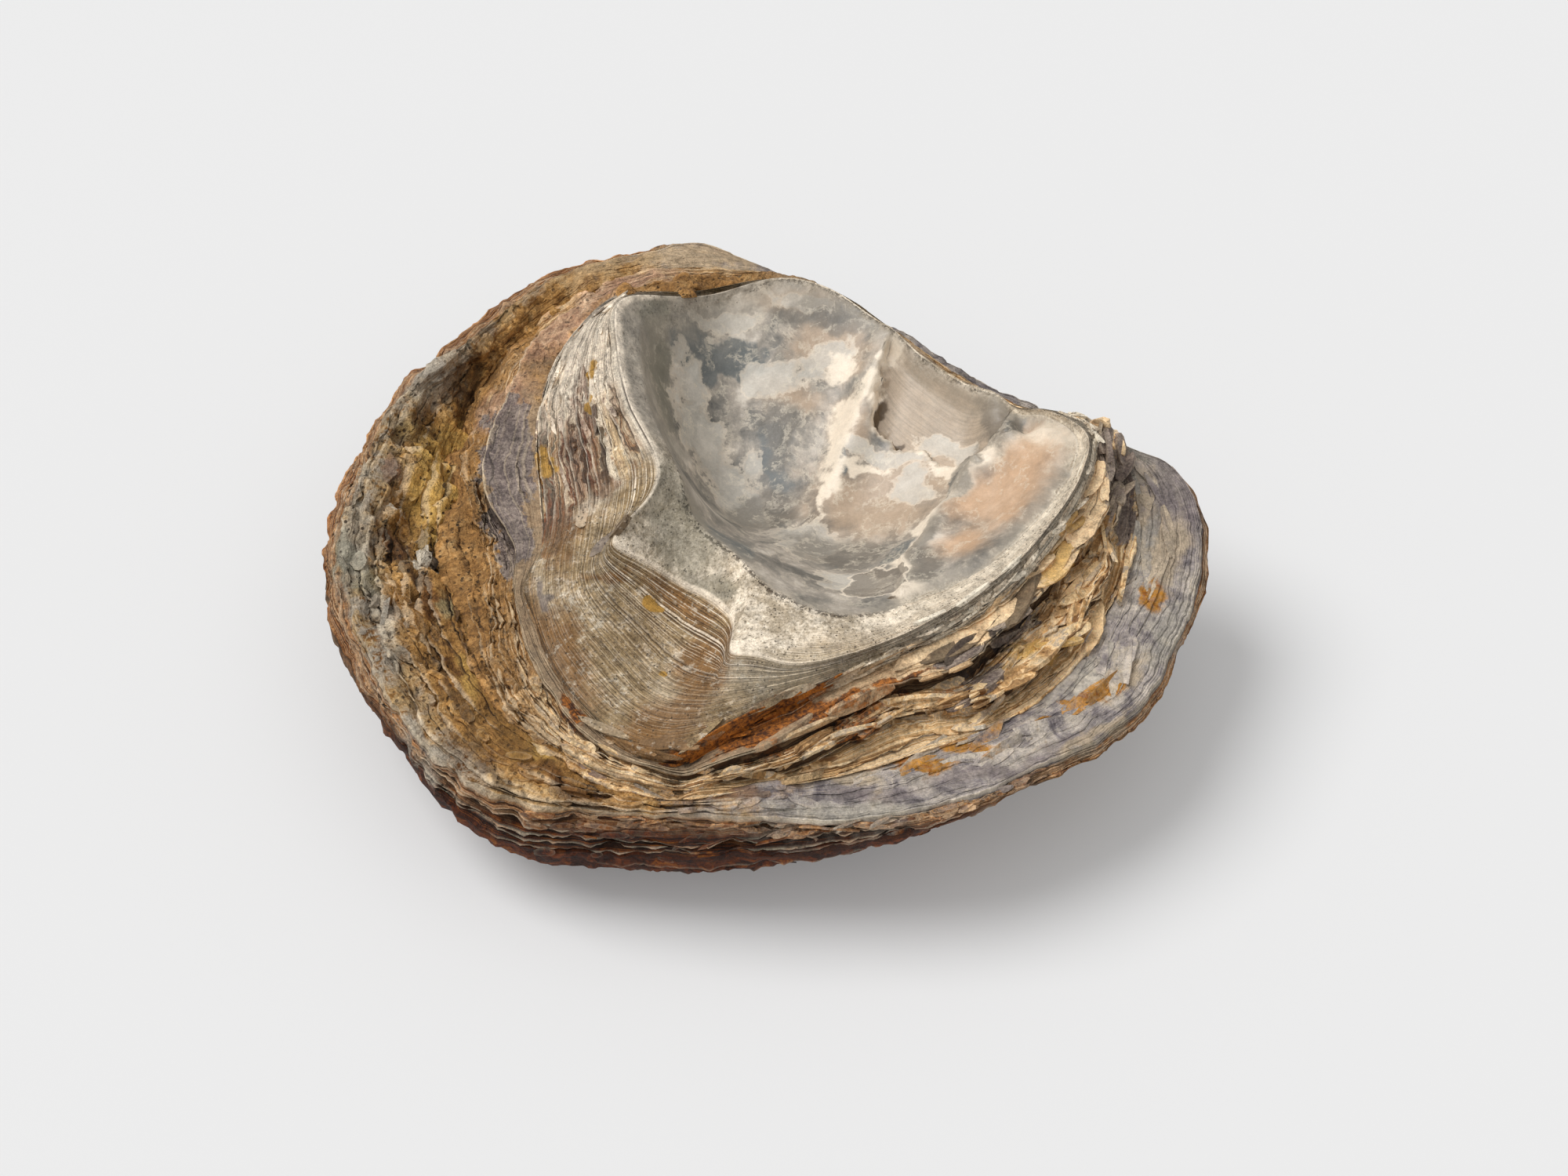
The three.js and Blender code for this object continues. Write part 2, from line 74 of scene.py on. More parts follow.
# Growth rings, each a closed curve: x, y, z and the drop of its edge, in mm.
growthRings = {
    "bowl": [
        (-6.5, 43, 41), (-15, 36, 44), (-21.5, 29.5, 47), (-21.5, 18, 47.5), (-19.5, 6, 47.5),
        (-14.5, -7.5, 46), (-12, -14, 43), (-4.5, -22, 41), (1, -29, 40), (13, -34, 39),
        (28.5, -28, 38.5), (38, -22.5, 40.5), (46, -13, 41.5), (51, -5, 42.5), (52.5, 2, 43.5),
        (47.5, 11, 41), (39, 16.5, 39), (25, 32, 37), (11.5, 45, 39), (3.5, 47, 40),
    ],
    "line": [
        (-7, 43.6, 42.2), (-17.5, 36.5, 47), (-25.5, 29, 51), (-25.5, 17.5, 51), (-23, 4, 51),
        (-17.5, -10.5, 49), (-20, -15.5, 47), (-23.5, -19, 45), (-25, -22, 44), (-17.5, -22.5, 40),
        (-10.5, -24.5, 38), (-6, -30.5, 38), (-5, -36.5, 39), (-6.5, -41.5, 40), (0.5, -44.5, 39),
        (8, -45, 40), (23, -38, 39.5), (39.5, -26.5, 42), (47.5, -16, 43), (52.5, -7.5, 45),
        (54, 0.5, 46), (47.5, 11, 42.5), (39, 17, 39.5), (25, 32.5, 37), (11.5, 45.5, 39),
        (3.5, 47.5, 40),
    ],
    "margin": [
        (-7, 45, 42, 1), (-17.5, 38.5, 46, 1), (-27, 34.5, 47, 1), (-32, 32.5, 43, 0.5),
        (-36.5, 26.5, 40, 0.3), (-39, 17.5, 38, 0.3), (-39.5, 8, 36, 0.5), (-38, -5, 35, 0.5),
        (-37.5, -15, 35, 1), (-40, -22.5, 34, 1), (-37.5, -31, 33, 1), (-34, -40.5, 33, 1),
        (-29, -49, 34, 1.5), (-23.5, -55, 34, 1.5), (-18, -58, 34, 2), (-12.5, -57.5, 35, 3),
        (-5.5, -54.5, 36, 4), (4, -49, 37, 4), (15.5, -43, 37, 2), (24.5, -38.5, 37.5, 1.5),
        (33, -33, 38, 2), (41.5, -26, 40, 2.5), (50, -13.5, 41, 2.5), (54.5, -4.5, 43, 2.5),
        (55.5, 3.5, 45, 1.5), (48, 12, 41.5, 1), (39, 18.5, 37.5, 1), (25.5, 34, 35, 1),
        (17, 43, 37, 1), (11.5, 46.5, 38, 1), (3.5, 48.5, 39, 1),
    ],
    "plate": [
        (-7, 49, 40, 0.5), (-25, 41, 43, 1), (-34.5, 38, 41, 1.5), (-40, 32.5, 39, 2),
        (-44, 24.5, 37, 2.5), (-46.5, 16, 36, 4), (-48.5, 6.5, 34, 5), (-47.5, -2, 34, 5),
        (-42, -13.5, 33, 3), (-41.5, -23, 32.5, 2), (-39, -34.5, 32, 2), (-35, -43, 32, 2),
        (-30, -52, 32, 2), (-21.5, -58.7, 32.5, 1), (-12, -60, 33, 2), (-2, -57.8, 33.5, 3),
        (8, -53, 34.5, 3), (19.5, -45.5, 35, 3.5), (29.5, -43, 36, 5), (38.5, -36, 36.5, 5.5),
        (45.5, -27.5, 37, 5.5), (53, -16.5, 37.5, 5), (56.3, -10, 39, 5), (57.5, -3, 41, 5),
        (56, 3.5, 44, 5), (48, 14, 39, 3), (39.5, 21.5, 35, 2), (25.5, 37, 33, 1),
        (11.5, 49, 35, 0.5), (3.5, 51.5, 37, 0.5),
    ],
    "second": [
        (-11, 51.5, 38, 0.5), (-24, 46.5, 39, 0.5), (-34, 41.5, 38, 1), (-41, 36.5, 35, 1),
        (-47, 31, 32, 0.5), (-51, 22, 29, 0.2), (-52, 13.5, 27.5, 0.2), (-51, 2, 28, 0.2),
        (-47.5, -10.5, 29, 0.5), (-47, -22, 29.5, 1), (-45.5, -33.5, 30, 2), (-42, -43.5, 30, 2),
        (-36, -51, 30, 1.5), (-28.5, -57, 30, 1), (-20.5, -61, 30.5, 1), (-12, -62, 31, 1),
        (-4.5, -61, 31, 2), (3, -58.8, 31.5, 2.5), (17, -51.5, 32, 2.5), (25, -47.5, 31.5, 2),
        (33.5, -46, 32, 3), (40, -42.5, 32, 3), (45.5, -36.5, 32, 3), (50, -30.5, 32, 2.5),
        (54.5, -22, 33, 2.5), (58, -13, 34, 2.5), (60, -4, 36, 3), (60.5, 3, 37.5, 3),
        (59, 7, 39, 3), (48.5, 16, 36, 1.5), (39.8, 24, 33, 0.5), (25.6, 38.5, 32, 0.5),
        (11.5, 50.5, 34, 0.5), (3.5, 53, 36, 0.5),
    ],
    "hollow": [
        (-11, 54, 36.5), (-21, 51.5, 37), (-31, 48, 37), (-39, 43.5, 35), (-46.5, 40, 31),
        (-52.5, 34, 27.5), (-55, 24.5, 25), (-56.5, 13.5, 24), (-57, 2, 25), (-56, -10.5, 26),
        (-53, -24, 27), (-48.5, -35, 27.5), (-42.5, -46, 28), (-34.5, -54, 28.5), (-27, -59.5, 28.5),
        (-19.5, -62.5, 28.8), (-9.5, -63.5, 29), (3, -61, 28.5), (14, -58, 28), (25.5, -53.5, 28),
        (36, -48.5, 28), (45, -42, 28), (51.5, -34.5, 28.5), (56.5, -26, 29.5), (60.5, -16.5, 30.5),
        (63, -8, 31.5), (63.5, -0.5, 33), (62, 5, 34.5), (56.5, 11, 35.5), (48.3, 17.8, 34),
        (40, 25.5, 32), (25.7, 39.7, 31), (11.5, 52, 32.5), (3.5, 54.5, 34.5),
    ],
    "rim": [
        (-13.5, 63, 35, 1), (-21, 58.5, 36, 1), (-29, 55, 37, 1), (-39, 50, 37, 1),
        (-48, 42, 36, 1), (-55.5, 33.5, 35, 1), (-62.5, 24, 34.5, 1), (-67.5, 12, 34, 1.5),
        (-70, -0.5, 33, 1.5), (-71, -10.5, 32, 2), (-70, -19, 31, 2), (-67.5, -27, 30, 2),
        (-64.5, -34.5, 29, 2), (-60.5, -42, 28, 2), (-57, -48, 27.5, 2), (-51.5, -54, 26.5, 2.5),
        (-46, -58.8, 26, 2.5), (-38, -62.5, 26, 2.5), (-30, -64.5, 27, 2), (-20, -65.5, 27.5, 2),
        (-7, -66.5, 28, 2), (3, -66.5, 27.5, 2), (15.5, -66.5, 27.5, 1.5), (25, -65, 28, 1.5),
        (34, -62, 28.5, 1.5), (43, -57, 28.5, 1.5), (52, -51, 27.5, 1.5), (59, -44, 27, 1.5),
        (63.5, -38, 27, 1.5), (67, -29.5, 27, 1.5), (70.5, -22, 27.5, 1.5), (73, -15, 28.5, 1.5),
        (73.5, -9.5, 30, 1.5), (74, -4, 31, 1.5), (71.5, 2, 33, 1.5), (68, 5.5, 35, 1.5),
        (63.5, 7, 36, 1.5), (56.8, 12.3, 36, 1.5), (48.5, 19.5, 34, 1.5), (40.3, 27, 32, 1),
        (26, 40.7, 31, 1), (12, 52.5, 31.5, 1), (3.5, 55.5, 33, 1), (-4, 59.2, 34, 1),
    ],
    "outline": [
        (-4, 61, 31.5), (-10, 63.7, 32), (-16, 65, 33), (-23, 63, 33), (-31, 60.3, 33.5),
        (-41, 56, 32.5), (-51, 48, 31.5), (-59.5, 38.5, 30), (-66, 28, 29), (-72, 14, 28),
        (-74.5, 2.5, 27), (-75.2, -11, 26), (-73, -22, 24), (-66.3, -36.5, 22), (-58, -49, 20.5),
        (-50.5, -57, 18), (-42.5, -61.8, 16), (-33, -64.5, 16), (-22, -65.8, 16.5), (-9.5, -66.5, 17),
        (3, -66.8, 19), (15.5, -67, 22.5), (25, -66.5, 25), (35, -63, 26), (44, -58, 26),
        (53.5, -51.8, 25), (60.5, -44.5, 24), (65, -38, 24), (68.5, -29, 24.5), (72, -22, 25),
        (74.5, -15, 26), (75, -9, 27.5), (75.5, -3, 28.5), (73, 3.5, 30.5), (69, 7.2, 33),
        (64, 9, 33.5), (57, 14, 32), (49, 21.5, 29), (41, 29, 27), (27, 42.5, 26),
        (13, 54.5, 28), (4, 58.2, 30),
    ],
    "rest": [
        (-8, 34, 0), (-32, 27, 0), (-42, 4, 0), (-38, -22, 0), (-20, -38, 0),
        (4, -40, 0), (26, -28, 0), (34, -6, 0), (28, 16, 0), (10, 30, 0),
    ],
}

# Mounds and hollows of the upper side: x, y, half length, half width, turn, height, firmness.
swellings = {
    "trough at the foot of the left wall": (-8, 22, 26, 9, 98, -4.5, 1),
    "ridge beside the scar": (16, 20, 17, 3.8, 68, 3.6, 1),
    "fold beyond the scar": (40, 11, 8, 2.6, 112, 2.6, 1),
    "groove beyond that fold": (44, 12, 7, 2.2, 110, -1.8, 1),
    "fold across the bowl": (30, -4, 17, 2.6, 64, 1.8, 1),
    "hollow beyond that fold": (38, -7, 14, 5, 64, -1.2, 1),
    "ligament pit": (-15, -38, 14, 7, 70, -4.5, 1),
    "deep end of the ligament pit": (-17, -28, 7, 4, 165, -2.5, 1),
    "left side of the hinge": (-31, -34, 15, 4.5, 110, 1.6, 1),
    "right side of the hinge": (-3, -47, 9, 3.5, 50, 1.8, 1),
    "pocket under the crest": (-14, -19, 7, 4.5, 125, -3, 1),
    "hump behind the bowl": (-19, 53, 14, 6, 15, 2, 1),
    "hole in the crust": (-62, -1, 5, 3, 80, -2.5, 1),
    "knob at the right end": (55.5, -6, 4, 2.2, 70, 1.8, 1),
    "knob behind it": (57.5, 3, 4, 2, 75, 1.4, 1),
    "sand in the hollow": (-52, 6, 14, 5, 75, 2, 1),
    "rust pit beside the hinge point": (-13, -60, 5, 3, 30, -2.5, 1),
}


def lerp(a, b, t):
    return a + (b - a) * t


def smooth(t):
    t = np.clip(t, 0, 1)
    return t * t * (3 - 2 * t)


def softNoise(x, y, z, seed=0):
    # repeatable value noise from -1 to 1, one lump to each unit of length
    x, y, z = np.broadcast_arrays(x, y, z)
    i, j, k = np.floor(x), np.floor(y), np.floor(z)
    u, v, w = smooth(x - i), smooth(y - j), smooth(z - k)

    def corner(a, b, c):
        s = np.sin((i + a) * 127.1 + (j + b) * 311.7 + (k + c) * 74.7 + seed * 19.19) * 43758.5453
        return 2 * (s - np.floor(s)) - 1

    near = lerp(lerp(corner(0, 0, 0), corner(1, 0, 0), u), lerp(corner(0, 1, 0), corner(1, 1, 0), u), v)
    far = lerp(lerp(corner(0, 0, 1), corner(1, 0, 1), u), lerp(corner(0, 1, 1), corner(1, 1, 1), u), v)
    return lerp(near, far, w)


def fractal(p, size, octaves=4, gain=0.5, seed=0, ridged=False):
    total, high = 0, 1
    for o in range(octaves):
        q = p / size * 2.03 ** o
        lumps = softNoise(q[..., 0] + 7.1 * o, q[..., 1], q[..., 2] - 3.7 * o, seed + o)
        total = total + high * (1 - 2 * np.abs(lumps) if ridged else lumps)
        high *= gain
    return total


def wander(angles, radius, size, seed):
    # slow change from -1 to 1 along a ring
    x, y = np.cos(angles) * radius / size, np.sin(angles) * radius / size
    return softNoise(x, y, seed * 7.3, seed)


def chips(angles, radius, size, seed):
    # a broken edge's in and out along its length: straight stretches between corners
    total = 0
    for o, (part, high) in enumerate(((1, 0.5), (0.37, 0.33), (0.13, 0.17))):
        count = max(8, int(2 * math.pi * radius / (size * part)))
        random = np.random.default_rng(1000 * seed + o)
        corners = np.sort((np.arange(count) + random.uniform(0, 0.9, count)) / count)
        heights = random.uniform(-1, 1, count)
        total = total + high * np.interp(angles / (2 * math.pi), corners, heights, period=1)
    return total


def facing(angles, degrees, spread):
    # 1 on the side of an angle, falling to 0 at spread degrees from it
    turn = np.abs((np.degrees(angles) - degrees + 180) % 360 - 180)
    return 1 - smooth(turn / spread)


def ringAt(name, angles):
    # a growth ring as r, z and drop for each direction
    points = np.array([tuple(p) + (0,) * (4 - len(p)) for p in growthRings[name]], float)
    points[:, 0] -= valve["heart"][0]
    points[:, 1] -= valve["heart"][1]
    count, steps = len(points), 24
    step = np.linalg.norm(np.roll(points, -1, 0)[:, :3] - points[:, :3], axis=1) ** 0.5
    samples = []
    for i in range(count):
        a, b, c, d = points[i - 1], points[i], points[(i + 1) % count], points[(i + 2) % count]
        ab, bc, cd = step[i - 1], step[i], step[(i + 1) % count]
        leave = ((b - a) / ab - (c - a) / (ab + bc) + (c - b) / bc) * bc
        arrive = ((c - b) / bc - (d - b) / (bc + cd) + (d - c) / cd) * bc
        t = (np.arange(steps) / steps)[:, None]
        spot = b + leave * t + (3 * (c - b) - 2 * leave - arrive) * t ** 2 + (2 * (b - c) + leave
                                                                              + arrive) * t ** 3
        spot[:, 3:] = lerp(b[3], c[3], t)
        samples.append(spot)
    samples = np.concatenate(samples)
    turn = np.unwrap(np.arctan2(samples[:, 1], samples[:, 0]))
    turn = np.maximum.accumulate(turn)
    radius = np.hypot(samples[:, 0], samples[:, 1])
    turns = np.concatenate([turn - 2 * math.pi, turn, turn + 2 * math.pi])

    def around(values):
        return np.interp(angles, turns - 2 * math.pi * (turn[0] > 2 * math.pi), np.tile(values, 3))

    return {"r": around(radius), "z": around(samples[:, 2]), "drop": around(samples[:, 3])}


lipRound = 0.12  # of a layer's broken lip, mm


def partWay(marks, t):
    # marks at a part of the way between their two values
    return {name: lerp(*value, t) if isinstance(value, tuple) else value for name, value in marks.items()}


class Loft:
    # Rows of points, each row once around the heart, from the middle out and back underneath.
    def __init__(self, segments):
        self.angles = np.arange(segments) / segments * 2 * math.pi
        self.rows = []
        self.marks = []

    def ring(self, name):
        return ringAt(name, self.angles)

    def put(self, r, z, **marks):
        blank = np.zeros_like(self.angles)
        self.rows.append((r + blank, z + blank))
        self.marks.append({name: value + blank for name, value in marks.items()})

    def slope(self, a, b, count, power=1, **marks):
        # rows between two rings, not counting the rings themselves
        for i in range(1, count + 1):
            t = (i / (count + 1)) ** power
            self.put(lerp(a["r"], b["r"], t), lerp(a["z"], b["z"], t), **partWay(marks, t))

    def strata(self, a, b, count, height, under, size, seed, rows=3, wild=1, fade=0.6, **marks):
        # layers from ring a out to ring b, each ending in a chipped lip that stands over the next;
        # they pinch together and thin out along their length
        radius = float(np.mean(a["r"]))
        foot = {"r": a["r"], "z": a["z"] - height / 2}
        reach = np.zeros_like(self.angles)
        for k in range(count):
            layer = np.random.default_rng(seed * 100 + k).random()
            stray = 0.8 * wander(self.angles, radius, 3 * size, seed + k)
            stray = stray + 0.7 * chips(self.angles, radius, size, seed * 100 + k)
            t = (k + 0.75 + wild * stray) / count
            t = np.clip(t, reach + 0.1 / count, 1 - 0.08 * (count - k) / count)
            thick = np.clip(1 - fade + 1.6 * fade
                            * wander(self.angles, radius, 2.2 * size, seed + 50 + k), 0, 1.5)
            thick = thick * (0.7 + 0.6 * layer) * height
            lip = {"r": lerp(a["r"], b["r"], t), "z": lerp(a["z"], b["z"], t) + thick / 2}
            inside, outside = partWay(marks, reach), partWay(marks, t)
            sharp = np.clip((thick - 0.08) / 0.35, 0, 1)
            self.put(foot["r"], foot["z"], layer=layer, lip=-sharp, **inside)
            self.slope(foot, lip, rows - 1, layer=layer, lip=0,
                       **{key: (inside[key], outside[key]) for key in marks})
            self.put(lip["r"] - lipRound, lip["z"], layer=layer, lip=0.7 * sharp, **outside)
            self.put(lip["r"], lip["z"] - lipRound, layer=layer, lip=sharp, **outside)
            self.put(lip["r"] - under * thick, lip["z"] - lipRound - 0.5 * thick, layer=layer, lip=-sharp,
                     **outside)
            foot = {"r": lip["r"] - 0.5 * under * thick, "z": lip["z"] - thick - 0.1}
            reach = t
        return foot

    def points(self):
        r = np.array([row[0] for row in self.rows])
        z = np.array([row[1] for row in self.rows])
        x = valve["heart"][0] + r * np.cos(self.angles)
        y = valve["heart"][1] + r * np.sin(self.angles)
        return np.stack([x, y, z], -1)

    def mark(self, name):
        return np.array([row.get(name, 0 * self.angles) for row in self.marks])


def spread(p, x, y, long, wide, turn, firm=1):
    # 1 in the middle of an oval patch, falling softly to 0 around it
    c, s = math.cos(math.radians(turn)), math.sin(math.radians(turn))
    dx, dy = p[..., 0] - x, p[..., 1] - y
    out = ((dx * c + dy * s) / long) ** 2 + ((dy * c - dx * s) / wide) ** 2
    return np.exp(-(out ** firm))


def relief(p):
    # what the mounds and hollows add to the upper side
    return sum(high * spread(p, x, y, long, wide, turn, firm)
               for x, y, long, wide, turn, high, firm in swellings.values())


def patches(p, places):
    # how strongly a kind of stain lies on each point
    field = np.zeros(p.shape[:-1])
    bent = p + np.stack([1.6 * fractal(p, 5, 4, 0.6, seed=80), 1.6 * fractal(p, 5, 4, 0.6, seed=90),
                         0 * field], -1)
    for x, y, long, wide, turn in places:
        field = np.maximum(field, spread(bent, x, y, long, wide, turn))
    return field


def outward(p):
    # the surface's own direction at every point of a grid of rows
    along = np.gradient(p, axis=0)
    around = np.roll(p, -1, 1) - np.roll(p, 1, 1)
    n = np.cross(along, around)
    return n / np.maximum(np.linalg.norm(n, axis=-1, keepdims=True), 1e-9)


def softened(p, times):
    # every point moved towards the middle of its neighbours
    for _ in range(times):
        around = (np.roll(p, 1, 1) + np.roll(p, -1, 1)) / 2
        inner = np.concatenate([p[:1], p[:-1]])
        outer = np.concatenate([p[1:], p[-1:]])
        p = 0.5 * p + 0.25 * around + 0.125 * (inner + outer)
    return p


def eased(p, times):
    # every point moved towards its neighbours on the same ring
    for _ in range(times):
        p = 0.5 * p + 0.25 * (np.roll(p, 1, 1) + np.roll(p, -1, 1))
    return p


surfaces = {}  # each shell's grid of points and its marks there, for the flakes that lie on it


def placed(name, p, poles, marks):
    # a flat grid of as many rows and columns, rolled up to the loft's points and welded shut
    rows, segments = p.shape[:2]
    bpy.ops.object.select_all(action="DESELECT")
    bpy.ops.mesh.primitive_grid_add(x_subdivisions=segments, y_subdivisions=rows + 1, size=2)
    piece = bpy.context.object
    piece.name = piece.data.name = name
    flat = np.zeros(len(piece.data.vertices) * 3)
    piece.data.vertices.foreach_get("co", flat)
    flat = flat.reshape(-1, 3)
    column = np.rint((flat[:, 0] + 1) / 2 * segments).astype(int) % segments
    row = np.rint((1 - flat[:, 1]) / 2 * (rows + 1)).astype(int)
    top, bottom = np.full((1, segments, 3), poles[0], float), np.full((1, segments, 3), poles[1], float)
    spots = np.concatenate([top, p, bottom])[row, column] - np.array([*valve["middle"], 0])
    spots[:, :2] *= ringScale
    piece.data.vertices.foreach_set("co", (spots * mm).ravel())
    for key, values in marks.items():
        layer = piece.data.attributes.new(key, "FLOAT", "POINT")
        ends = [np.full((1, segments), values[i].mean()) for i in (0, -1)]
        layer.data.foreach_set("value", np.concatenate([ends[0], values, ends[1]])[row, column].astype(float))
    bpy.ops.object.mode_set(mode="EDIT")
    bpy.ops.mesh.select_all(action="SELECT")
    bpy.ops.mesh.remove_doubles(threshold=0.0000001)
    bpy.ops.mesh.normals_make_consistent(inside=False)
    bpy.ops.object.mode_set(mode="OBJECT")
    bpy.ops.object.shade_smooth()
    return piece


def finishPiece(piece, material):
    piece.data.materials.clear()
    piece.data.materials.append(material)
    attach(piece, "root")
    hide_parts("oyster_valve")
    print(f"{piece.name}: {len(piece.data.polygons)} faces")


def hollowed(p):
    # how far a point lies under its surroundings, in mm: less than 0 on a ridge
    near, far = softened(p, 8), softened(p, 24)
    return np.sum((0.7 * near + 0.3 * far - p) * outward(softened(p, 4)), -1)


innerShell = {
    "segments": 620,
    "bowlRows": 54,
    "plateauRows": 10,
    "bandLayers": 10,  # growth ledges between the first growth line and the margin
    "wallLedge": 1.3,  # how far they stand out on the striped wall, mm
    "marginLayers": 3,
    "thickness": 3.5,
    "scarDepth": 2.8,
    "sheetStep": 1.2,  # height of the last nacre sheet's edge, mm
    "stains": {
        "white": [(-11.5, 19, 11, 3.8, 105), (-5.5, 9.5, 11, 4, 110), (6, 43, 6, 1.5, 165),
                  (1, 30, 5.5, 3, 175), (7.5, -4, 7, 5.5, 45), (13.5, -20.5, 6.5, 4, 155),
                  (-2.5, 16, 3.5, 2, 115), (9.5, 32, 6.5, 2, 20), (25.5, 5.5, 4, 2.5, 155),
                  (31.5, 13, 6.5, 1.5, 140), (-8, 38.5, 6, 1.5, 20), (21, 13, 7.5, 1.5, 150)],
        "blue": [(42, 13.5, 6, 2, 110), (33, 3, 9, 2.2, 62), (22, -12, 5, 2, 70), (-12.5, 31, 4, 5, 90),
                 (-6, 33.5, 3, 5, 90), (1, 17.5, 7.5, 3.5, 110), (-13.5, 35.5, 5, 2.5, 35),
                 (13.5, 14, 3.5, 2, 90), (-6, -17, 6, 5, 135)],
        # the cream patches along the ridge beside the scar are partly its own cream and partly its painted
        # highlight
        "cream": [(22.5, 32.5, 4.5, 2, 60), (18, 26, 4, 2, 60), (13.5, 19.5, 6, 3, 75),
                  (11.5, 12.5, 5.5, 3, 90), (17, 12.5, 7, 1.2, 155), (30, 8.5, 6, 1.3, 140),
                  (10, 6.5, 5, 1.5, 90), (33.5, -30.5, 8.5, 1, 35), (13, 31.5, 3.5, 1.5, 35)],
        "tan": [(21, 10, 5, 4, 150), (18, 4, 15, 9, 150), (4.5, 43.5, 9, 2.5, 175),
                (14.5, 19.5, 6, 4, 90), (11.5, 34.5, 8, 5, 170), (4.5, 27, 7, 3, 155), (28, 8, 9, 6, 160),
                (45, 5, 6, 5, 60)],
        "dark": [(18.5, -21.5, 5.5, 6, 140)],
        "peach": [(43, -2, 17, 8, 62), (36, -3.5, 6.5, 7.5, 180), (45, 1, 6, 6, 60),
                  (33.5, -15, 5, 5, 175), (41, -9.5, 5.5, 4.5, 40)],
        "fold": [(-18.5, 25.5, 21, 3, 95), (-15, -15, 10, 6, 120), (-9, -24, 6, 2.5, 150)],
        "shade": [(12, -8, 11, 6, 150), (41, 11.5, 7, 3.5, 110), (5, 40, 6, 2.5, 165), (-1, 6, 8, 6, 60),
                  (2, 20, 7, 4, 100), (12, 40, 8, 3, 150), (40, 12, 8, 3, 110), (34, 4, 6, 2.5, 60),
                  (26, -12, 8, 2, 70), (26, -20, 5.5, 3, 70)],
        "rust": [(4, -49.5, 14, 2.5, 14), (-6, -55, 7, 2.5, 15), (-12.5, -58.5, 3, 2, 0)],
        "scar": [(29, 23, 11, 9.5, 120), (33.5, 16, 9, 7, 110), (27, 30, 7, 5, 120)],
        "sheet": [(38.5, -14, 26, 15.5, 66)],
        # dirt and painted shade, mostly at the sunken left edge of the scar
        "dirt": [(20.5, 22, 3.2, 1.1, 105), (23, 16.5, 2, 1, 150), (21.5, -28, 1, 1.5, 165)],
        "gold": [(-19, -28.5, 2, 1, 10), (-30.5, 15.5, 2.5, 1.5, 100), (-30.5, 10, 2, 1, 100),
                 (-38.5, 4, 4, 1.5, 100), (-16.5, -40, 1, 1, 0)],
        "brown": [(-19, -57, 6, 3.5, 20), (-11, -29, 7, 3, 130), (-34, -37, 17, 5, 115),
                  (-18, -56, 12, 5, 20), (-10, -40, 8, 5, 80), (-14, -51, 8, 6, 30),
                  (-34, -12, 12, 3, 100), (-13.5, -26.5, 7, 2.5, 170), (-5, -39, 5.5, 2.5, 105),
                  (-9, -44.5, 7, 4.5, 45), (-25, -24, 5, 1, 0), (-6, -24.5, 3.5, 1, 135),
                  (-28.5, -4.5, 12.5, 1, 105), (-31.5, 9.5, 9.5, 1, 100), (-36, -17, 6.5, 1, 100),
                  (-32, 0, 12, 4, 100)],
        "pale": [(-31.5, 23, 14, 8, 100), (2, -46, 14, 5, 8), (-15, -48, 8, 4, 100),
                 (-32.5, -41.5, 9.5, 1, 115), (-35.5, -26.5, 6.5, 2, 110), (-27, -54, 4, 1.5, 145),
                 (-28, -11.5, 3.5, 2.5, 170), (-17, -57, 3.5, 1, 0)],
        "slate": [(-28, -56, 3.5, 1.5, 150), (-21.5, 15.5, 10.5, 2.5, 95), (-35.5, -26.5, 5, 1, 110)],
    },
}


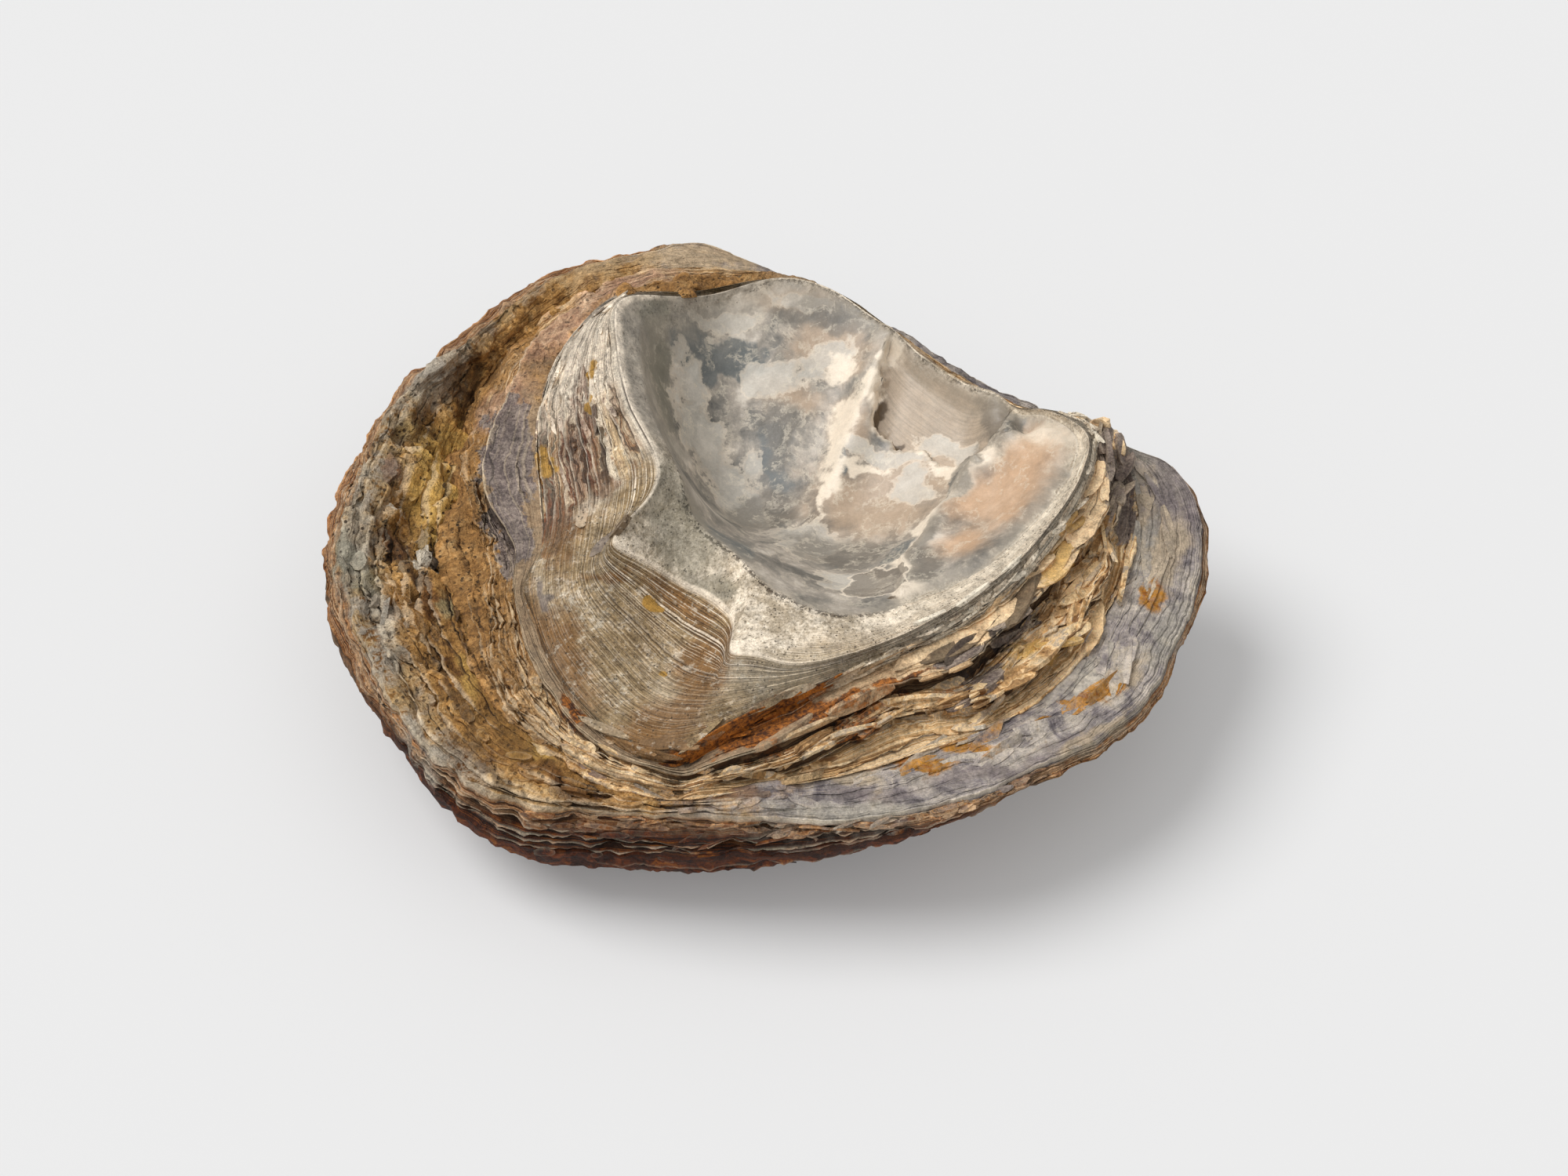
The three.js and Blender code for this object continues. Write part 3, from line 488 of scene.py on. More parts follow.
def makeInnerShell():
    o = innerShell
    loft = Loft(o["segments"])
    bowl, line, margin = loft.ring("bowl"), loft.ring("line"), loft.ring("margin")
    wall = facing(loft.angles, 175, 85)
    striped = facing(loft.angles, 168, 62)
    right = facing(loft.angles, -25, 85)

    def bowlAt(t):
        rise = lerp(t ** 2 * (2 - t), t ** valve["wallSteepness"], wall)
        return {"r": t * bowl["r"], "z": lerp(valve["bowlFloor"], bowl["z"], rise)}

    for i in range(o["bowlRows"]):
        t = (i + 1) / (o["bowlRows"] + 1)
        loft.put(**bowlAt(t), growth=t)
    loft.put(bowl["r"], bowl["z"], growth=1)
    loft.slope(bowl, line, o["plateauRows"], growth=(1, 2))
    loft.put(line["r"], line["z"], growth=2)
    height = o["wallLedge"] * striped + 0.3 * right + 0.02
    foot = loft.strata(line, margin, o["bandLayers"], height, 0.7, 8, 1, rows=3, wild=0.3 + 0.5 * striped,
                       growth=(2, 3))
    loft.slope(foot, margin, 2, growth=3)
    edge = {"r": margin["r"] + 0.2, "z": margin["z"] - margin["drop"]}
    loft.strata(margin, edge, o["marginLayers"], 0.25 + 0.2 * margin["drop"], 0.8, 3, 2, rows=2, growth=3.2)
    inside = {"r": margin["r"] - 3, "z": margin["z"] - margin["drop"] - 1.5}
    loft.put(edge["r"] - 0.8, edge["z"] - 0.5, growth=3.5, lip=-1)
    loft.put(inside["r"], inside["z"], growth=4)
    under = {"r": line["r"], "z": line["z"] - o["thickness"]}
    loft.slope({"r": margin["r"] - 3, "z": margin["z"] - o["thickness"]}, under, 3, growth=4)
    loft.put(under["r"], under["z"], growth=4)
    for t in (0.97, 0.9, 0.75, 0.55, 0.35, 0.15):
        under = bowlAt(t)
        loft.put(under["r"], under["z"] - o["thickness"], growth=4)

    p = loft.points()
    growth = loft.mark("growth")
    upper = smooth((3.9 - growth) / 0.3)
    p[..., 2] += relief(p) * np.maximum(upper, loft.mark("growth") >= 4)
    crease = smooth((growth - 1.7) / 0.2) * smooth((2.35 - growth) / 0.2) * (1 - striped)
    p = lerp(p, softened(p, 8), crease[..., None])
    growth = lerp(growth, softened(growth[..., None], 8)[..., 0], crease)
    bends = smooth((growth - 2.02) / 0.5) * smooth((3.1 - growth) / 0.15) * (1 - 0.9 * striped) * (1 - right)
    p = lerp(p, eased(p, 120), bends[..., None])
    n = outward(softened(p, 4))
    chalk = smooth((growth - 0.95) / 0.1) * smooth((2.05 - growth) / 0.2)
    p += n * (chalk * 0.2 * fractal(p, 1.8, 3, seed=5))[..., None]
    ribs = softNoise(growth * 26 + fractal(p, 9, 3, seed=9), loft.angles * 9 + 0 * growth, 0 * growth, seed=6)
    p += n * (upper * smooth((growth - 2) / 0.2) * striped
              * (0.3 * ribs + 0.2 * fractal(p, 2.2, 3, seed=6)))[..., None]
    p += n * (upper * smooth((0.95 - growth) / 0.3) * 0.14 * fractal(p, 9, 3, seed=7))[..., None]
    inside = smooth((1 - growth) / 0.08)
    scar = smooth((patches(p, o["stains"]["scar"]) - 0.3) / 0.12) * smooth((46 - p[..., 0]) / 12)
    sheet = smooth((patches(p, o["stains"]["sheet"]) - 0.4) / 0.05)
    p[..., 2] += inside * (o["sheetStep"] * sheet - o["scarDepth"] * scar)
    marks = {"growth": growth, "layer": loft.mark("layer"), "lip": loft.mark("lip"), "low": hollowed(p),
             "striped": striped + 0 * growth, "right": right + 0 * growth,
             "crest": facing(loft.angles, 150, 75) + 0 * growth}
    marks.update({name: patches(p, places) * (growth < 3.6) for name, places in o["stains"].items()})
    poles = (np.array([*valve["heart"], p[0, :, 2].mean()]), np.array([*valve["heart"], p[-1, :, 2].mean()]))
    surfaces["inner"] = (p, marks)
    return placed("inner_shell", p, poles, marks)


growthPlates = {
    "segments": 900,
    "slabs": 3,  # slabs that make up the first plate
    "layers": 7,  # layers between its edge and the second edge
    "undercut": 3,
    "crust": 1.5,  # height of the crust's lumps, mm
    "stains": {
        "purple": [(-44.5, 7, 14, 4.6, 98), (-43, -8, 10, 3.2, 108), (60, -2, 8, 3.5, 85),
                   (33.5, -40, 7, 1.5, 25), (41.5, -32, 6.5, 1, 40)],
        "rust": [(4, -50, 13, 2.2, 12), (-4, -55, 7.5, 2.5, 5), (-13, -55.5, 2.5, 2, 125),
                 (22, -44.5, 6, 1, 15), (10.5, -51, 6.5, 1, 15), (-30.5, -47.5, 3, 1, 120)],
        "yellow": [(48, -18, 5, 2, 65), (44, -35, 5, 1.5, 15)],
        "rock": [(-36, 35, 12, 6, 50), (-46, 20, 8, 5, 80), (-25, 47, 12, 4, 20)],
        # painted shade: thin dark lines under the slabs' undercut edges and in the rust pit
        "dark": [(41.5, -30, 8, 0.8, 45), (33.5, -38, 6, 0.7, 30), (-12, -57.5, 4, 1.2, 20)],
    },
}


def makeGrowthPlates():
    o = growthPlates
    loft = Loft(o["segments"])
    margin, plate = loft.ring("margin"), loft.ring("plate")
    second, hollow = loft.ring("second"), loft.ring("hollow")
    left = facing(loft.angles, 190, 95)
    right = facing(loft.angles, -27, 85)
    plate["r"] = plate["r"] + (0.6 + 1.6 * right) * chips(loft.angles, 55, 11, 31)
    second["r"] = second["r"] + (0.8 + 1.2 * right) * chips(loft.angles, 62, 9, 32)
    start = {"r": margin["r"] - 1.8, "z": margin["z"] - margin["drop"] - 4}
    foot = {"r": margin["r"] - 0.6, "z": margin["z"] - margin["drop"] + 0.1}
    deep = {"r": 0.85 * margin["r"], "z": 14}
    loft.put(0.7 * margin["r"], 13, growth=4)
    loft.put(deep["r"], deep["z"] + 1, growth=4)
    loft.put(start["r"], start["z"], growth=4)
    loft.put(foot["r"] - 0.6, foot["z"] - 0.4, growth=4)
    loft.put(foot["r"], foot["z"], growth=4, crust=0)
    sandy = facing(loft.angles, 130, 62)
    broken = np.clip(plate["drop"] / 2.5, 0.1, 1)
    last = loft.strata(foot, plate, o["slabs"], (0.3 + 0.5 * right) * (1 - 0.95 * sandy), 0.5, 8, 3,
                       rows=5, growth=(4.1, 4.4),
                       crust=0.1 * left + 0.9 * sandy)
    loft.slope(last, plate, 3, growth=4.5, layer=0.6, crust=0.1 * left + 0.9 * sandy)
    loft.put(plate["r"], plate["z"], growth=4.5, layer=0.6, lip=broken, crust=0.1 * left + 0.9 * sandy)
    gap = np.clip(plate["drop"] / 5, 0, 1)
    under = o["undercut"] * gap * (0.35 + 0.65 * right)
    plateFoot = {"r": plate["r"] - 0.4 * under, "z": plate["z"] - plate["drop"]}
    loft.put(plate["r"] + 0.1, plate["z"] - 0.35, growth=4.6, layer=0.6, lip=0.8 * broken)
    loft.put(plate["r"] - 0.1, plate["z"] - 0.35 - 0.4 * gap, growth=4.6, layer=0.5, lip=0.2)
    loft.put(plate["r"] - under, plate["z"] - 0.5 - 0.8 * gap, growth=4.7, lip=-broken)
    loft.put(plate["r"] - under, plate["z"] - 0.8 * plate["drop"], growth=4.7, lip=-broken)
    loft.put(plateFoot["r"], plateFoot["z"], growth=4.8, lip=-broken, crust=left)
    height = (0.6 + 0.7 * right) * (1 - 0.9 * sandy)
    last = loft.strata(plateFoot, second, o["layers"], height, 0.9, 6, 4, rows=3, growth=(4.8, 5.2),
                       crust=(0.5 * left, left))
    loft.slope(last, second, 2, growth=5.2, layer=0.3, crust=left)
    slot = np.clip(second["drop"] / 2.5, 0, 1)
    loft.put(second["r"], second["z"], growth=5.5, lip=slot, layer=0.3, crust=left)
    loft.put(second["r"] - 0.1, second["z"] - 0.4, growth=5.5, lip=0.8 * slot, layer=0.3, crust=left)
    secondFoot = {"r": second["r"] - 0.8, "z": second["z"] - second["drop"]}
    loft.put(second["r"] - 1.6 * slot, second["z"] - 0.4 - 0.3 * slot, growth=5.6, lip=-slot, crust=left)
    loft.put(secondFoot["r"], secondFoot["z"], growth=5.7, lip=-slot, crust=left)
    last = loft.strata(secondFoot, hollow, 4, (0.4 + 0.3 * right) * (1 - 0.9 * sandy), 0.9, 6, 5, rows=2,
                       growth=(5.7, 6),
                       crust=left)
    end = {"r": hollow["r"] - 0.3, "z": hollow["z"] - 0.6}
    loft.slope(last, end, 1, growth=6, lip=-1 + 0.8 * sandy, crust=left)
    loft.put(end["r"] - 1.5, end["z"] - 1.2, growth=6)
    loft.slope({"r": end["r"] - 1.5, "z": end["z"] - 1.2}, {"r": deep["r"], "z": 11}, 3, growth=6)

    p = loft.points()
    upper = np.ones(p.shape[:2])
    upper[:3] = 0
    upper[-4:] = 0
    p[..., 2] += relief(p)
    n = outward(softened(p, 5))
    crust = loft.mark("crust") * upper
    p += n * (o["crust"] * crust * (fractal(p, 5, 5, 0.55, seed=11) + sandy * 0.5
                                    * fractal(p, 7, 3, seed=13, ridged=True)))[..., None]
    worn = (0.14 + 0.25 * right + 0.25 * sandy) * lerp(0.5, 1, smooth((loft.mark("growth") - 4.5) / 0.2))
    p += n * (upper * worn * fractal(p, 3.5, 4, 0.6, seed=12))[..., None]
    marks = {"growth": loft.mark("growth"), "layer": loft.mark("layer"), "lip": loft.mark("lip"),
             "crust": crust, "low": hollowed(p), "right": right + 0 * crust}
    marks.update({name: patches(p, places) for name, places in o["stains"].items()})
    poles = (np.array([*valve["heart"], 13]), np.array([*valve["heart"], 10]))
    surfaces["plates"] = (p, marks)
    return placed("growth_plates", p, poles, marks)


outerShell = {
    "segments": 700,
    "crustLayers": 10,
    "edgeLayers": 6,
    "bellyLayers": 7,
    "bellyBulge": 0.9,
    "crust": 2.2,  # height of the crust's lumps, mm
    "stains": {
        "olive": [(-59.5, 15.5, 7.5, 3.5, 105), (-71, -12, 6.5, 2, 105), (-63, 16, 3, 3, 115)],
        "yellow": [(-57, 4, 14, 5.5, 100), (-53, 13.5, 11, 6, 105), (-56, -8, 7, 4, 110),
                   (-42.5, -44.5, 12.5, 2.5, 115), (-37, -52.5, 4.5, 2, 125), (-48, -37.5, 8.5, 2, 110)],
        "green": [(-66.5, -17, 5.5, 2.5, 120), (-71, -13, 6, 2, 105), (-53, -21.5, 3.5, 2, 110)],
        "red": [(-63.5, -8, 4, 2.5, 120), (-50, -11.5, 5.5, 1.5, 115), (-64, 6.5, 2.5, 2, 130)],
        "slate": [(12, -65, 14, 2, 0), (-69.5, -12, 11, 3.5, 95), (-61, 27, 8, 3, 60),
                  (-64, -23.5, 9, 2, 105), (64, -10, 9, 3.5, 80), (-62, -31.5, 9.5, 1.5, 110),
                  (-70, -1.5, 11, 1.5, 85), (-58, 31, 8, 3, 55), (-15.5, -61, 4.5, 1.5, 160),
                  (-55.5, -50, 6.5, 1.5, 125), (61.5, 1.5, 9, 2.5, 80), (67, -26, 8.5, 3.5, 60),
                  (51.5, -37, 7, 2.5, 35)],
        "white": [(-57.5, -11, 3.5, 2, 120), (-63.5, 1.5, 1, 1.5, 135), (-55.5, -12.5, 2.5, 1, 115),
                  (34, -48, 1.5, 1, 5)],
        # painted shade: thin dark lines in the gaps between the crust's ledges
        "dark": [(-61, -11, 11.5, 1.5, 115), (-53.5, -36, 13, 1, 115), (-47.5, -47.5, 9.5, 1, 115),
                 (-34.5, -45, 1.5, 1, 150), (-42, -58, 7.5, 1, 140), (-53, 32, 5, 1.2, 65)],
        "ochre": [(30, -51.5, 7, 2.4, 170), (49.5, -42.5, 3.5, 1, 10), (54.5, -40, 4, 1.5, 25),
                  (64.5, -20, 3, 3, 115), (44, -47.5, 3, 1, 10), (24, -56, 7, 1.6, 175)],
        "cream": [(20.5, -53, 10, 3.5, 5), (13, -57.5, 6, 2.5, 170), (53.5, -49, 10.5, 1.5, 40),
                  (41, -40, 7, 2.5, 25), (33, -46, 9, 2.5, 10), (68, -12, 9, 3, 75), (64, -3, 6, 2, 80),
                  (58, -37, 8, 2, 45)],
        "purple": [(70, -1.5, 12, 6, 90), (47, -53, 11.5, 1.5, 30), (61, -10.5, 7, 1.5, 65),
                   (16.5, -61.5, 7.5, 2, 0), (34, -58, 10, 2, 10)],
        "umber": [(-42, -46, 13, 3, 118), (-8, -62, 11, 2.6, 175), (-35, -57, 9, 2, 145),
                  (-57, -20, 9, 1.5, 110)],
        "tan": [(-9, 60, 14, 4, 170), (-15.5, 55.5, 10, 5.5, 175), (-31, 52, 7.5, 5, 35),
                (-2.5, 51.5, 7.5, 5.5, 135)],
    },
}


def makeOuterShell():
    o = outerShell
    loft = Loft(o["segments"])
    hollow, rim = loft.ring("hollow"), loft.ring("rim")
    outline, rest = loft.ring("outline"), loft.ring("rest")
    left = facing(loft.angles, 190, 95)
    front = facing(loft.angles, -105, 60)
    right = facing(loft.angles, -20, 75)
    rim["r"] = rim["r"] + 0.8 * chips(loft.angles, 66, 9, 41)
    start = {"r": hollow["r"] - 5, "z": hollow["z"] - 3}
    loft.put(0.6 * hollow["r"], 10, growth=6)
    loft.put(start["r"] - 3, 12, growth=6)
    loft.put(start["r"], start["z"], growth=6)
    near = {"r": hollow["r"] - 1.5, "z": hollow["z"] - 0.4}
    loft.put(near["r"], near["z"], growth=6, crust=left)
    middle = {"r": lerp(hollow["r"], rim["r"], 0.5), "z": lerp(hollow["z"], rim["z"], 0.5 - 0.12 * left)}
    terraced = facing(loft.angles, 214, 62)
    height = 0.02 + 0.2 * left + 1.6 * terraced + 0.3 * front + 0.35 * right
    inner = o["crustLayers"] // 2
    last = loft.strata(near, middle, inner, height, 0.5, 8, 6, rows=4, wild=1.3, fade=0.9,
                       growth=(6, 6.5), crust=left + 0.1)
    rimTop = {"r": rim["r"], "z": rim["z"]}
    last = loft.strata(last, rimTop, o["crustLayers"] - inner, height * 0.8, 0.5, 8, 7, rows=4, wild=1.3,
                       fade=0.9, growth=(6.5, 7), crust=left + 0.1)
    loft.slope(last, rimTop, 1, growth=7, crust=left + 0.1, layer=0.5)
    loft.put(rim["r"], rim["z"], growth=7, lip=1, crust=0.9 * left + 0.1, layer=0.5)
    rimFoot = {"r": rim["r"] + 0.1, "z": rim["z"] - 0.5 * rim["drop"]}
    loft.put(rimFoot["r"], rimFoot["z"], growth=7.1, lip=0.6, crust=0.9 * left + 0.1, layer=0.5)
    height = 0.5 + 0.9 * front
    last = loft.strata(rimFoot, outline, o["edgeLayers"], height, 1.5, 7, 8, rows=2, growth=(7.2, 8),
                       crust=0.5 + 0.3 * left - 0.35 * right)
    loft.put(outline["r"], outline["z"], growth=8, crust=0.5 + 0.3 * left, layer=0.4)
    bulge = o["bellyBulge"] * (1 - facing(loft.angles, -30, 85))
    for k in range(o["bellyLayers"]):
        fade = min(1, o["bellyLayers"] - k - 0.6)
        stray = 0.15 * chips(loft.angles, 50, 12, 50 + k)
        stray = stray + 0.55 * fade * wander(loft.angles, 50, 26, 70 + k)
        sharp = smooth(0.6 + 0.9 * wander(loft.angles, 50, 17, 80 + k))
        layer = np.random.default_rng(60 + k).random()
        for step, proud, lip in ((0.3, 0, 0), (0.6, 0.2, 0), (0.85, 0.5, 1), (0.93, -0.7, -1)):
            t = np.clip((k + step + stray) / o["bellyLayers"], 0.02 + 0.01 * k, 1)
            turn = t * math.pi / 2
            inward, down = lerp(t, 1 - np.cos(turn), bulge), lerp(t, np.sin(turn), bulge)
            r = lerp(outline["r"], rest["r"], inward) + proud * fade * sharp
            loft.put(r, lerp(outline["z"], 0, down), growth=9, crust=0.6 * fade, lip=lip * 0.6 * sharp,
                     layer=layer)
    loft.put(rest["r"], 0, growth=10)
    loft.slope({"r": rest["r"], "z": 0}, {"r": 0, "z": 0}, 2, growth=10)

    p = loft.points()
    growth = loft.mark("growth")
    upper = smooth((7.15 - growth) / 0.1)
    p[2:, :, 2] += (relief(p) * upper)[2:]
    n = outward(softened(p, 6))
    flat = smooth(p[..., 2] / 3)
    lumps = 0.9 * fractal(p, 10, 5, 0.55, seed=21) + 0.45 * fractal(p, 5, 4, 0.6, seed=22, ridged=True)
    edge = 0.5 * fractal(p, 5, 4, 0.5, seed=23, ridged=True) + 0.4 * fractal(p, 10, 2, seed=24) - 0.4
    lumps = lerp(lumps, edge, smooth((growth - 6.75) / 0.25))
    rough = o["crust"] * loft.mark("crust") * (1 + 0.25 * facing(loft.angles, 165, 50)
                                               * smooth((6.9 - growth) / 0.3))
    p += n * (rough * (1 - 0.3 * terraced * (growth < 7)) * lumps * flat)[..., None]
    p[..., 2] = np.maximum(p[..., 2], 0)
    marks = {"growth": growth, "layer": loft.mark("layer"), "lip": loft.mark("lip"),
             "crust": loft.mark("crust"), "low": hollowed(p), "left": left + 0 * growth,
             "front": facing(loft.angles, -110, 75) + 0 * growth}
    marks.update({name: patches(p, places) * (growth < 8) for name, places in o["stains"].items()})
    poles = (np.array([*valve["heart"], 10]), np.array([*valve["heart"], 0]))
    surfaces["outer"] = (p, marks)
    return placed("outer_shell", p, poles, marks)


def tone(name):
    # a colour as it looks on a screen, as the light it stands for
    parts = [int(name[i:i + 2], 16) / 255 for i in (1, 3, 5)]
    return tuple(c / 12.92 if c < 0.04045 else ((c + 0.055) / 1.055) ** 2.4 for c in parts)


def tones(palette):
    return {name: tone(value) if isinstance(value, str) else value for name, value in palette.items()}


class Socket:
    # an output that shader maths is written with
    def __init__(self, paint, output):
        self.paint, self.output = paint, output

    def maths(self, operation, *values):
        return self.paint.node("ShaderNodeMath", {"operation": operation}, dict(enumerate(values)))

    def __add__(self, other):
        return self.maths("ADD", self, other)

    def __radd__(self, other):
        return self.maths("ADD", other, self)

    def __sub__(self, other):
        return self.maths("SUBTRACT", self, other)

    def __rsub__(self, other):
        return self.maths("SUBTRACT", other, self)

    def __mul__(self, other):
        return self.maths("MULTIPLY", self, other)

    def __rmul__(self, other):
        return self.maths("MULTIPLY", other, self)

    def __truediv__(self, other):
        return self.maths("DIVIDE", self, other)

    def __neg__(self):
        return self.maths("MULTIPLY", self, -1)

    def size(self):
        return self.maths("ABSOLUTE", self)

    def highest(self, other):
        return self.maths("MAXIMUM", self, other)

    def step(self, low, high):
        # 0 under low, 1 over high, and soft between
        return self.paint.node("ShaderNodeMapRange", {"interpolation_type": "SMOOTHSTEP"},
                               {"Value": self, "From Min": low, "From Max": high})


warmth = (1.1, 1.06, 1.01)  # what the light and the age of the shell do to every colour


class Paint:
    # the nodes of one material
    def __init__(self, name):
        self.material = bpy.data.materials.new(name)
        self.material.use_nodes = True
        self.tree = self.material.node_tree
        self.shader = self.tree.nodes["Principled BSDF"]
        spot = self.node("ShaderNodeTexCoord", output="Object")
        self.place = self.vector("SCALE", spot, scale=1 / mm)

    def plug(self, value, socket):
        if isinstance(value, Socket):
            self.tree.links.new(value.output, socket)
        elif isinstance(value, tuple) and socket.type == "RGBA":
            socket.default_value = (*value, 1)
        else:
            socket.default_value = value

    def node(self, kind, settings=None, sockets=None, output=0):
        node = self.tree.nodes.new(kind)
        for name, value in (settings or {}).items():
            setattr(node, name, value)
        for name, value in (sockets or {}).items():
            self.plug(value, node.inputs[name])
        return Socket(self, node.outputs[output])

    def vector(self, operation, a, b=None, scale=None):
        sockets = {0: a}
        if b is not None:
            sockets[1] = b
        if scale is not None:
            sockets["Scale"] = scale
        return self.node("ShaderNodeVectorMath", {"operation": operation}, sockets)

    def mark(self, name):
        return self.node("ShaderNodeAttribute", {"attribute_name": name}, output="Fac")

    def noise(self, size, detail=4, rough=0.55, warp=0, place=None):
        return self.node("ShaderNodeTexNoise", None, {
            "Vector": place or self.place, "Scale": 1 / size, "Detail": detail, "Roughness": rough,
            "Distortion": warp})

    def cells(self, size, feature="F1", output="Distance", place=None, random=1):
        return self.node("ShaderNodeTexVoronoi", {"feature": feature}, {
            "Vector": place or self.place, "Scale": 1 / size, "Randomness": random}, output)

    def mix(self, amount, a, b, blend="MIX"):
        return self.node("ShaderNodeMix", {"data_type": "RGBA", "blend_type": blend},
                         {0: amount, 6: a, 7: b}, 2)

    def ramp(self, value, stops):
        ramp = self.node("ShaderNodeValToRGB", None, {"Fac": value})
        points = ramp.output.node.color_ramp.elements
        for i, (at, name) in enumerate(stops):
            point = points[i] if i < len(points) else points.new(at)
            point.position, point.color = at, (*tone(name), 1)
        return ramp

    def along(self, growth, layers, stretch=6, warp=1.5):
        # a place that changes quickly from layer to layer and slowly along them
        heart = [(valve["heart"][i] - valve["middle"][i]) * ringScale for i in (0, 1)]
        flat = self.vector("MULTIPLY", self.vector("SUBTRACT", self.place, (*heart, 0)), (1, 1, 0))
        around = self.vector("SCALE", self.vector("NORMALIZE", flat), scale=stretch)
        height = self.node("ShaderNodeCombineXYZ", None, {"X": growth * layers * 0.31, "Z": growth * layers})
        bend = self.node("ShaderNodeTexNoise", None, {"Vector": self.place, "Scale": 0.14, "Detail": 4},
                         "Color")
        bend = self.vector("SCALE", bend, scale=warp)
        return self.vector("ADD", self.vector("ADD", around, height), bend)

    def lines(self, growth, count, bend=2, detail=3):
        # thin growth lines, one beside the other
        slow = self.noise(9, 4, 0.6)
        return self.node("ShaderNodeTexNoise", {"noise_dimensions": "1D"}, {
            "W": growth * count + slow * bend, "Scale": 1, "Detail": detail, "Roughness": 0.6})

    def blot(self, name, low=0.35, high=0.65):
        # a stain whose edge frays
        return (self.mark(name) + self.fray * 1.8 * self.mark(name).step(0, 0.35)).step(low, high)

    def grained(self, colour, amount, *sizes):
        # the same colour, darker and lighter by turns at several sizes
        grain = sum((self.noise(size, 3, 0.6) - 0.5) * 2.6 for size in sizes)
        return self.vector("SCALE", colour, scale=(1 + grain * amount).highest(0.15))

    def finish(self, colour, roughness, height, coat=0):
        self.plug(self.vector("MULTIPLY", colour, warmth), self.shader.inputs["Base Color"])
        self.plug(roughness, self.shader.inputs["Roughness"])
        self.plug(coat, self.shader.inputs["Coat Weight"])
        bump = self.node("ShaderNodeBump", None, {"Height": height, "Distance": mm, "Strength": 1}, "Normal")
        self.plug(bump, self.shader.inputs["Normal"])
        return self.material


innerPaint = {
    "bowl": [(0.38, "#5c5d5b"), (0.46, "#86837d"), (0.53, "#a69f96"), (0.61, "#d6d0c6")],
    "blue": "#5d6568",
    "crest": "#a59d90",
    "white": "#d0cdc5",
    "cream": "#f4e8d6",
    "tan": "#b8a28b",
    "dark": "#776f65",
    "peach": "#d0ab88",
    "fold": "#7f7d70",
    "shade": "#6f6a62",
    "scar": "#c9b7a2",
    "dirt": "#4a381f",
    "silk": "#bdae9a",
    "chalk": "#f3e8d6",
    "ash": "#9f9078",
    "pores": "#463b2b",
    "rust": "#b06a20",
    "rustDark": "#4a2409",
    "band": [(0.36, "#7a6547"), (0.46, "#a08a67"), (0.54, "#b5a080"), (0.64, "#d2c0a0")],
    "gold": "#b58d45",
    "lineDark": "#54402a",
    "brown": "#80592b",
    "pale": "#d3c6ae",
    "slate": "#746d6d",
    "red": "#6a3a1e",
    "stripes": [(0.26, "#7a4a29"), (0.34, "#d6bd94"), (0.42, "#f3e6cf"), (0.5, "#93836f"), (0.56, "#6e3d20"),
                (0.62, "#ecdabb"), (0.7, "#8f6640"), (0.78, "#cdbb9e")],
    # painted shade: the dark brown laid into hollows, pits, the gaps between stripes and under lips
    "creviceShade": "#3a2817",
    # a pale tone for lines and edges, also the painted highlight on lips
    "edge": "#e4dccb",
}


